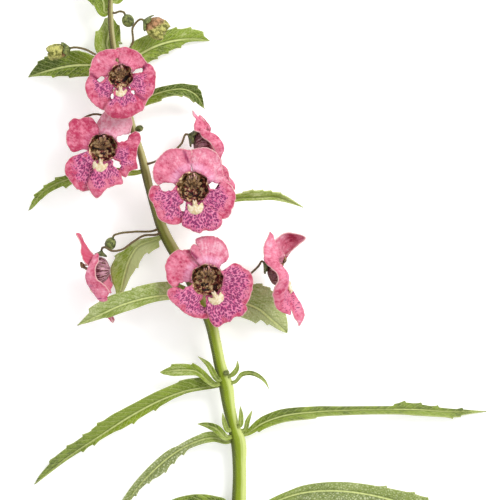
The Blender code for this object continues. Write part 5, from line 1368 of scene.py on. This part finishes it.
def build_corolla(name, flower):
    """Pouch and five lobes in one thin blade: each lobe grows from its own arc of the pouch's rim."""
    spec = flower.spec
    order = sorted(range(len(flower.lobes)), key=lambda index: flower.lobe_arc(index)[0] % 360)
    rim, arcs = [], {}
    for index in order:
        start, end = flower.lobe_arc(index)
        arcs[index] = range(len(rim), len(rim) + LOBE_COLUMNS + 1)
        base = math.radians(start % 360)
        for column in range(LOBE_COLUMNS + 1):
            rim.append(base + math.radians(end - start) * column / LOBE_COLUMNS)
    sides = len(rim)
    points, surface = [flower.on_pouch(Vector((0, 0, -1)))], [(0.0, 0.0)]
    values = {key: [] for key in ("edge", "dots", "throat", "lilac", "fold", "wine", "depth")}
    note(values, throat=1.0, depth=0.5)
    polar_end = flower.mouth_polar()
    for ring in range(1, POUCH_RINGS + 1):
        share = (ring / POUCH_RINGS) ** 0.85
        polar = polar_end * share
        for angle in rim:
            bend = flower.rim_radius(angle) / flower.mouth_radius()
            flat = math.sin(polar) * (1 + (bend - 1) * share**3)
            way = Vector((flat * math.cos(angle), flat * math.sin(angle), -math.cos(polar)))
            rough = 0.3 * noise.noise(Vector((way.x * 4, way.y * 4, flower.seed + way.z * 4))) * (1 - share)
            points.append(flower.on_pouch(way, rough))
            surface.append((angle * POUCH_ROUND, share * POUCH_LONG))
            wine = share * (0.5 + 0.5 * math.cos(angle + 0.6))
            inner = 1 - max(0.0, share - RIM_FROM) / RIM_BAND * RIM_PALER
            note(values, throat=inner, wine=wine, depth=spec["pouch_depth"])
    faces = [(0, 1 + k, 1 + (k + 1) % sides) for k in range(sides)]
    for ring in range(POUCH_RINGS - 1):
        for k in range(sides):
            j = (k + 1) % sides
            near, far = 1 + ring * sides, 1 + (ring + 1) * sides
            faces.append((near + k, far + k, far + j, near + j))
    rim_start = 1 + (POUCH_RINGS - 1) * sides
    lower = math.radians(flower.lobes[LOWER_LOBE][0])
    for index, arc in arcs.items():
        last = [rim_start + k for k in arc]
        upper = index < UPPER_LOBES
        middle = math.radians(flower.lobes[index][0])
        for step in range(1, LOBE_STEPS + 1):
            t = step / LOBE_STEPS
            row = []
            for column in range(LOBE_COLUMNS + 1):
                side = 2 * column / LOBE_COLUMNS - 1
                row.append(len(points))
                points.append(flower.lobe_point(index, side, t))
                flat = flower.seen_from_front(points[-1])
                radius = math.hypot(*flat)
                turned = math.atan2(flat[1], flat[0]) - middle
                turned = (turned + math.pi) % (2 * math.pi) - math.pi
                surface.append(((middle + turned) * TRUE_AT, radius))
                reached = (radius - flower.mouth_radius()) / flower.size
                if index in flower.profiles:
                    reached = 8 * t
                patchy = 0.3 * noise.noise(Vector((flat[0] * 0.5, flat[1] * 0.5, flower.seed)))
                dots = 0.0
                if not upper:
                    end = spec["dotted_to"][index - UPPER_LOBES]
                    ending = fade(t + patchy, end + DOTS_BLUR[0], end + DOTS_BLUR[1])
                    dots = fade(reached, 0.1, 0.7) * ending * spec["dotted"]
                    dots *= fade(math.cos(middle + turned - lower), -0.3, 0.15)
                lilac = math.exp(-(((reached - 1.4) / 1.5) ** 2)) * (1.0 if upper else 0.3)
                seam = fade(reached, SEAM_REACH[1], SEAM_REACH[0])
                # painted shade at the lobes' roots round the mouth and along the creases
                crease_shades = [fade(reached, 1.1, 0.0) * 0.8] + [crease.at(flat) for crease in flower.creases]
                note(
                    values,
                    edge=max(t * (1 - SEAM_EDGE * seam), flower.by_hole(flat)),
                    dots=dots,
                    throat=max(0.0, 0.3 - reached / 1.5),
                    lilac=lilac * spec["lilac"],
                    fold=max(crease_shades),
                    depth=spec["depths"][index] + blush(spec["blushes"].get(index), side, t),
                )
            for column in range(LOBE_COLUMNS):
                faces.append((last[column], row[column], row[column + 1], last[column + 1]))
            last = row
    skins = ["petal_front", "petal_back"]
    nodes = [f"{name}_corolla"]
    add_piece(f"{name}_petals", points, faces, skins, nodes, PETAL, surface, values)


STALK_RADIUS = 0.32
STALK_CLEAR = 0.9  # mm that a stalk first runs straight out from the stem
STALK_FLARE = 0.35  # how much wider it is at its foot
STEPS_PER_POINT = 8  # rings of a stalk for each point that it runs through
SEPAL_STEPS = 60  # round the calyx
SEPAL_GAP = 0.5  # mm between the frame's petals and the sepals
SEPAL_THICK = 0.5
SEPAL_KEEL = 0.25
# Rings of the cup, as shares of the way from its foot to the sepals' edge: outside, with how far each
# swells, and inside on the way back.
CUP_OUTSIDE = [(0.1, 0.62), (0.2, 0.35), (0.35, 0.15), (0.5, 0.05), (0.7, 0), (0.88, 0), (1, -0.2)]
CUP_INSIDE = [0.97, 0.7, 0.35]
STALK_ABOVE = 0.7  # mm over the cup's foot at which the stalk ends


def stalk_rings(points, across, sides):
    """Rings of a stalk through the points, turned so that the last one starts in the direction across."""
    path = Path(points)
    count = STEPS_PER_POINT * len(points)
    rings = []
    for step in range(count, -1, -1):
        share = step / count
        along = path.direction(share)
        across = (across - along * across.dot(along)).normalized()
        upward = along.cross(across)
        wide = STALK_RADIUS * (1 + STALK_FLARE * max(0.0, 1 - share * 8))
        rings.append(circle(path.point(share), across, upward, wide, sides))
    return rings[::-1]


def stalk_points(foot, between, arrival, heading):
    """From inside the stem's skin, over the points between, to the arrival point along the heading."""
    base, out = seat_on_stem(*foot)
    between = [Vector(point) for point in between]
    return [base, base + out * STALK_CLEAR] + between + [arrival - heading * PEDICEL_RADIUS, arrival]


def build_calyx(name, node, on_body, tilt, axes, stalk, reaches, skin="calyx"):
    """A stalk that opens into a cup of five pointed sepals, laid against the body that it holds."""
    across, up, ahead = axes
    reach, notch = reaches
    tilt = math.radians(tilt)
    pole = Vector((0, math.sin(tilt), -math.cos(tilt)))
    side = Vector((1, 0, 0))
    rise = Vector((0, math.cos(tilt), math.sin(tilt)))

    def on_shell(distance, angle, outward):
        """The point this many degrees from the cup's foot, at this angle round it."""
        away = math.radians(distance)
        round_it = (side * math.cos(angle) + rise * math.sin(angle)) * math.sin(away)
        return on_body(pole * math.cos(away) + round_it, outward)

    inner = SOLID_BLADE / 2 + SEPAL_GAP
    outer = inner + SEPAL_THICK

    def shell_ring(share, outward, keel):
        """A ring at this share of the way from the cup's foot to the sepals' edge."""
        ring = []
        for k in range(SEPAL_STEPS):
            angle = 2 * math.pi * k / SEPAL_STEPS
            crest = abs(math.cos(2.5 * angle))
            edge = notch + (reach - notch) * crest**0.8
            ring.append(on_shell(edge * share, angle, outward + keel * crest**6 * (1 - share)))
        return ring

    heading = -(across * pole.x + up * pole.y + ahead * pole.z).normalized()
    arrival = on_shell(0, 0, outer + STALK_ABOVE)
    rings = stalk_rings(stalk_points(*stalk, arrival, heading), across, SEPAL_STEPS)
    stalk_faces = (len(rings) - 1) * SEPAL_STEPS
    for share, outward in CUP_OUTSIDE:
        rings.append(shell_ring(share, outer + outward, SEPAL_KEEL))
    for share in CUP_INSIDE:
        rings.append(shell_ring(share, inner, 0.0))
    points, faces = loft(rings, end=on_shell(0, 0, inner))
    values = {"stalk": [1.0] * stalk_faces + [0.0] * (len(points) - stalk_faces)}
    add_piece(name, points, faces, [skin], [node], values=values)
    outside = faces[: stalk_faces + len(CUP_OUTSIDE) * SEPAL_STEPS]
    build_hairs(f"{name}_hairs", (points, outside), CALYX_HAIRS)


# Outline of the tooth from the front, at size 1: a crescent with a two-tipped prong towards the throat.
TOOTH_OUTLINE = [
    (0, -0.5), (0.4, -0.9), (0.65, -0.3), (0.75, 0.5), (1.1, 0.9), (1.6, 0.6), (2.1, 0.2), (2.5, 0.6),
    (2.6, 1.6), (2.2, 2.8), (1.3, 3.6), (0, 3.9), (-1.3, 3.6), (-2.2, 2.8), (-2.6, 1.6), (-2.5, 0.5),
    (-2.1, 0.1), (-1.6, 0.6), (-1.1, 0.9), (-0.75, 0.5), (-0.65, -0.3), (-0.45, -1), (0, -0.5),
]
TOOTH_HEART = (0.0, 2.0)
TOOTH_STEPS, TOOTH_RINGS = 96, 10
TOOTH_LOW, TOOTH_RISE = 0.15, 1.25  # height of its rim and of its crown over the rim
TOOTH_UNDER = [(0.3, -0.3), (0.8, -0.3), (0.98, -0.1)]  # its underside: share of the outline, and height


def build_tooth(name, flower):
    """The cream tooth on the root of the lower lip, pillowed over its outline and closed underneath."""
    outline = Path([(*point, 0) for point in TOOTH_OUTLINE])
    middle = math.radians(flower.lobes[LOWER_LOBE][0])
    out = flower.across * math.cos(middle) + flower.up * math.sin(middle)
    beside = flower.ahead.cross(out)
    size = flower.size**0.6
    foot = flower.throat + out * (flower.mouth_radius() - 0.1)
    lift = max(0.9, 0.3 + flower.lobes[LOWER_LOBE][1] * 0.5) - flower.spec["tooth_sunk"]
    high = []

    def ring(share, height, cream):
        """A ring at this share of the outline: rosy where cream is 0, and cream where it is 1."""
        found = []
        for k in range(TOOTH_STEPS):
            row = outline.row(k / TOOTH_STEPS)
            x = TOOTH_HEART[0] + (row[0] - TOOTH_HEART[0]) * share
            y = TOOTH_HEART[1] + (row[1] - TOOTH_HEART[1]) * share
            spot = foot + out * (y * size) + beside * (x * size)
            grain = 0.12 * noise.noise(spot * 1.5)
            prong = max(0.0, 0.9 - y) * 0.5
            found.append(spot + flower.ahead * (lift + (height + prong * height) * size + grain))
            high.append(cream)
        return found

    rings = [ring(share, height, 0.0) for share, height in TOOTH_UNDER]
    for step in range(TOOTH_RINGS + 1):
        share = 1 - step / (TOOTH_RINGS + 1)
        height = TOOTH_LOW + TOOTH_RISE * (1 - share**2.4) ** 0.6
        rings.append(ring(share, height, fade(height, TOOTH_LOW, 1.2)))
    heart = foot + out * (TOOTH_HEART[1] * size) + beside * (TOOTH_HEART[0] * size)
    start = heart + flower.ahead * (lift - 0.3)
    end = heart + flower.ahead * (lift + 1.4 * size)
    points, faces = loft(rings, start, end)
    values = {"high": high + [0.0, 1.0]}
    add_piece(f"{name}_palate", points, faces, ["tooth"], [f"{name}_tooth"], values=values)


def square_to(axis):
    """A direction square to the axis."""
    helper = UP if abs(axis.z) < 0.9 else Vector((1, 0, 0))
    return axis.cross(helper).normalized()


def ellipsoid(middle, axis, length, width, steps=8, sides=12):
    """A closed egg along the axis."""
    across = square_to(axis)
    upward = axis.cross(across)
    rings = []
    for step in range(1, steps):
        polar = math.pi * step / steps
        centre = middle - axis * (length / 2 * math.cos(polar))
        rings.append(circle(centre, across, upward, width * math.sin(polar), sides))
    return loft(rings, middle - axis * (length / 2), middle + axis * (length / 2))


def add_bodies(name, bodies, skin):
    """Several (points, faces) as one piece."""
    points, faces = [], []
    for more_points, more_faces in bodies:
        shift = len(points)
        points += more_points
        faces += [tuple(number + shift for number in face) for face in more_faces]
    add_piece(name, points, faces, [skin])


def tube(points, radius, sides=8, count=14):
    """A thin tapered thread through the points, closed at both ends."""
    path = Path(points)
    rings = []
    for step in range(count + 1):
        share = step / count
        along = path.direction(share)
        across = square_to(along)
        wide = radius * (1 - 0.3 * share)
        rings.append(circle(path.point(share), across, along.cross(across), wide, sides))
    return loft(rings, path.point(0), path.point(1))


# Middle of each half anther across, up and ahead of the throat at size 1, and the way it points.
ANTHERS = [
    ((-0.5, 2.2, 1.5), (-0.2, 1)), ((0.5, 2.3, 1.7), (0.15, 1)),
    ((-1.4, 1.8, 1), (-0.6, 0.9)), ((1.35, 1.9, 1.2), (0.6, 0.9)),
    ((-1.9, 0.7, 0.1), (-1, 0.5)), ((1.9, 0.8, 0.2), (1, 0.6)),
    ((-0.3, 0.2, -0.5), (0.3, 1)), ((0.7, 0, -0.7), (-0.2, 1)),
]
ANTHER_LONG, ANTHER_WIDE = 2.7, 0.52
ANTHER_JITTER = 0.35
# Points of a filament and of the style in the same way, and how thick both are, in mm.
FILAMENT = [(0, 3.6, -1.4), (0, 3.2, 0.2), (0, 2.7, 0.9)]
STYLE = [(0.2, 4.1, -0.2), (0.5, 3.5, 0.5), (0.3, 2.9, 0.9)]
FILAMENT_RADIUS, STYLE_RADIUS = 0.16, 0.3


def build_stamens(name, flower):
    """Anthers in a loose fan under the upper lip, the filaments that carry some of them, and the style."""
    size = flower.size
    shift, lift = (moved / size for moved in flower.spec["anthers_moved"])
    eggs, threads = [], []
    for number, ((across, up, ahead), (tilt_across, tilt_up)) in enumerate(ANTHERS):
        stray = noise.noise_vector(Vector((flower.seed, number * 1.7, 0.5))) * ANTHER_JITTER
        lean = flower.across * (tilt_across + stray.x) + flower.up * (tilt_up + stray.y)
        axis = (lean + flower.ahead * (0.2 + stray.z)).normalized()
        moved = (across + stray.y, up + lift + stray.z, ahead + shift + stray.x)
        middle = flower.place(*(distance * size for distance in moved))
        eggs.append(ellipsoid(middle, axis, ANTHER_LONG * size * (0.8 + stray.x), ANTHER_WIDE * size))
        if ahead > 0.5:
            line = [flower.place((across * 0.7 + x) * size, y * size, z * size) for x, y, z in FILAMENT]
            threads.append(tube(line + [middle], FILAMENT_RADIUS))
    threads.append(tube([flower.place(x * size, y * size, z * size) for x, y, z in STYLE], STYLE_RADIUS))
    add_bodies(f"{name}_anthers", eggs, "anther")
    add_bodies(f"{name}_filaments", threads, "filament")


def build_flower(name, spec):
    """One open flower: petals, calyx with stalk, tooth, and what stands in its throat."""
    flower = Flower(name, spec)
    build_corolla(name, flower)
    tilt = spec["calyx_tilt"]
    room = math.degrees(flower.mouth_polar()) - tilt - 2
    axes = (flower.across, flower.up, flower.ahead)
    stalk = (spec["foot"], spec["stalk"])
    reaches = (min(SEPAL_REACH, room), SEPAL_NOTCH)
    build_calyx(f"{name}_sepals", f"{name}_calyx", flower.on_pouch, tilt, axes, stalk, reaches)
    build_tooth(name, flower)
    build_stamens(name, flower)


BUD_SIDES = 40
BUD_RINGS = 18
BUD_FIRST = 14  # degrees from a bud's foot to its first ring
BUD_ROUND = 152  # degrees from there to the last ring of a closed bud
LIPS_ROUND = 126  # the same to the lips of crumpled petals
BUD_LIPS = 5
CALYX_CLOSE = 0.55  # how far a bud's calyx stands off, as a share of a flower's
LIP_RINGS = 8  # into the mouth, as far as its middle leaves room
MOUTH_HALF = 0.13  # share of the lips' radius at which the mouth is closed
BUD_SEATED = 0.15  # mm between a bud and the end of its stalk


def build_bud_petals(name, on_bud, radius, sooner):
    """Crumpled petals that are still closed, with five lips round a small dark mouth."""
    rings, lime, inside = [], [], []
    for step in range(BUD_RINGS + LIP_RINGS):
        outer = step < BUD_RINGS
        share = step / (BUD_RINGS - 1) if outer else 1 - (step - BUD_RINGS + 1) / LIP_RINGS
        polar = math.radians(BUD_FIRST + LIPS_ROUND * (share if outer else 1.0))
        ring = []
        for k in range(BUD_SIDES * 2):
            angle = math.pi * k / BUD_SIDES
            crest = abs(math.cos(BUD_LIPS / 2 * angle + 0.4))
            lip = crest**0.7 * max(0.0, share - 0.6) / 0.4
            frill = 0.12 * noise.noise(Vector((4 * math.cos(angle), 4 * math.sin(angle), radius))) * share
            flat = math.sin(polar) * (1 + 0.16 * lip + frill) - 0.07 * (1 - crest) ** 2
            deep = -math.cos(polar) + 0.2 * lip + frill
            if not outer:
                flat *= share
                deep = -math.cos(polar) * (0.55 + 0.45 * share**0.5) + 0.24 * lip
            way = Vector((flat * math.cos(angle), flat * math.sin(angle), deep))
            rough = 0.16 * noise.noise(Vector((way.x * 3, way.y * 3, way.z * 3 + radius)))
            ring.append(on_bud(way, rough))
            lime.append(fade(share + 0.3 * math.cos(angle + 2.6) + sooner, 0.35, 0.7))
            inside.append(0.0 if outer else fade(share, 0.95, 0.5))
        rings.append(ring)
        if not outer and share <= MOUTH_HALF:
            break
    points, faces = loft(rings, on_bud(Vector((0, 0, -1))), on_bud(Vector((0, 0, 0.42))))
    values = {"lime": lime + [0.0, 1.0], "inside": inside + [0.0, 1.0]}
    nodes = [f"{name}_petals"]
    add_piece(f"{name}_crumpled", points, faces, ["bud_petal"], nodes, values=values)


def build_bud(name, spec):
    """A closed bud. Where its petals show, they are a body of their own in a calyx like a flower's."""
    radius, length, foot, between = (spec[key] for key in ("radius", "length", "foot", "stalk"))
    middle, pointing = spec["middle"], spec["points"]
    if middle is None:
        base, pointing = seat_on_stem(*foot)
        middle = base + pointing * (length / 2 + BUD_SEATED)
    middle = Vector(middle)
    ahead = Vector(pointing).normalized()
    up = (UP - ahead * UP.dot(ahead)).normalized()
    across = up.cross(ahead)

    def on_bud(direction, outward=0.0):
        wide, deep = radius + outward, length / 2 + outward
        flat = across * (direction.x * wide) + up * (direction.y * wide)
        return middle + flat + ahead * (direction.z * deep)

    def ring(polar):
        """A ring of a closed bud with five furrows."""
        found = []
        for k in range(BUD_SIDES):
            angle = 2 * math.pi * k / BUD_SIDES
            furrow = 0.07 * (1 - abs(math.sin(2.5 * angle + 0.6 * math.cos(polar)))) ** 2
            flat = math.sin(polar) * (0.98 - furrow)
            way = Vector((flat * math.cos(angle), flat * math.sin(angle), -math.cos(polar)))
            rough = 0.05 * noise.noise(Vector((way.x * 3, way.y * 3, way.z * 3 + radius)))
            found.append(on_bud(way, rough))
        return found

    if spec["sepals"]:
        build_bud_petals(name, on_bud, radius, spec["lime"])

        def on_outside(direction, outward):
            return on_bud(direction, outward * CALYX_CLOSE)

        axes, stalk = (across, up, ahead), (foot, between)
        build_calyx(f"{name}_sepals", f"{name}_calyx", on_outside, 0, axes, stalk, spec["sepals"], "bud")
        return
    body = [ring(math.radians(BUD_FIRST + BUD_ROUND * step / (BUD_RINGS - 1))) for step in range(BUD_RINGS)]
    arrival = on_bud(Vector((0, 0, -1))) - ahead * BUD_SEATED
    if between:
        stalk = stalk_rings(stalk_points(foot, between, arrival, ahead), across, BUD_SIDES)
    else:
        stalk = [circle(arrival, across, up, 0.4 * radius, BUD_SIDES)]
    points, faces = loft(stalk + body, end=on_bud(Vector((0, 0, 1))))
    brown = (len(stalk) - 1) * BUD_SIDES
    values = {"stalk": [1.0] * brown + [0.0] * (len(points) - brown)}
    add_piece(f"{name}_closed", points, faces, ["bud"], [name], values=values)
    build_hairs(f"{name}_hairs", (points, faces[: -2 * BUD_SIDES]), BUD_HAIRS)


FLOOR_GLOW = 0.25
FLOOR_HALF = 12.0  # metres


def build_floor():
    """A pale table, lit a little from below."""
    mesh = bpy.data.meshes.new("floor")
    corners = [(x * FLOOR_HALF, y * FLOOR_HALF, 0) for x, y in ((-1, -1), (1, -1), (1, 1), (-1, 1))]
    mesh.from_pydata(corners, [], [(0, 1, 2, 3)])
    n = Nodes("floor")
    grain = n.noise(n.millimetres(), 0.02, 2)
    colour = n.mix(grain, (0.93, 0.93, 0.93), (0.95, 0.95, 0.95))
    n.shader.inputs["Emission Color"].default_value = (1, 1, 1, 1)
    n.shader.inputs["Emission Strength"].default_value = FLOOR_GLOW
    mesh.materials.append(n.finish(colour, 0.9, Specular_IOR_Level=0.0))
    floor = bpy.data.objects.new("floor", mesh)
    bpy.context.scene.collection.objects.link(floor)


CAMERA_ABOVE = 1.6  # metres above the flowers
VIEW_WIDTH = 0.150  # metres that the photograph is wide, at the flowers' height
AIM = Vector((-2.26, 4.69, 12.0))  # mm: the photograph's middle, from the frame's origin
SENSOR = 36.0


def build_camera():
    """Looks straight down from far above, as the photograph does."""
    data = bpy.data.cameras.new("camera")
    data.sensor_width = SENSOR
    data.lens = SENSOR * CAMERA_ABOVE / VIEW_WIDTH
    data.clip_end = 50
    camera = bpy.data.objects.new("camera", data)
    camera.location = AIM * MM + Vector((0, 0, CAMERA_ABOVE))
    bpy.context.scene.collection.objects.link(camera)
    bpy.context.scene.camera = camera


SKY_STRENGTH = 0.95
KEY_PLACE = Vector((0.8, 0.7, 1.2))
KEY_SIZE, KEY_POWER = 0.6, 17.0


def build_light():
    """An even white sky, and a square soft box that shines at the stem's middle from the upper right."""
    world = bpy.data.worlds.new("studio")
    world.use_nodes = True
    background = world.node_tree.nodes["Background"]
    background.inputs["Color"].default_value = (1, 1, 1, 1)
    background.inputs["Strength"].default_value = SKY_STRENGTH
    bpy.context.scene.world = world
    key = bpy.data.lights.new("key", "AREA")
    key.size = KEY_SIZE
    key.energy = KEY_POWER
    light = bpy.data.objects.new("key", key)
    light.location = KEY_PLACE
    light.rotation_euler = (-KEY_PLACE).to_track_quat("-Z", "Y").to_euler()
    bpy.context.scene.collection.objects.link(light)
    bpy.context.scene.view_settings.view_transform = "Standard"


def main():
    """Every piece of the stem, and then what is round it."""
    build_stem()
    for build, usual, rows in (
        (build_leaf, USUAL_LEAF, LEAVES),
        (build_flower, USUAL_FLOWER, FLOWERS),
        (build_bud, USUAL_BUD, BUDS),
    ):
        for name, row in rows.items():
            build(name, {**usual, **row})
    build_floor()
    build_light()
    build_camera()


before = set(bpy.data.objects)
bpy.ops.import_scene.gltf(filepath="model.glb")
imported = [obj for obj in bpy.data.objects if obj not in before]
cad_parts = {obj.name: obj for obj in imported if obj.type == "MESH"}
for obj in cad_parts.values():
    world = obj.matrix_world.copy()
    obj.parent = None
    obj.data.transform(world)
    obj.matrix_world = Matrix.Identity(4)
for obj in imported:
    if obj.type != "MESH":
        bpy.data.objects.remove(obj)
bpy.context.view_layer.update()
main()
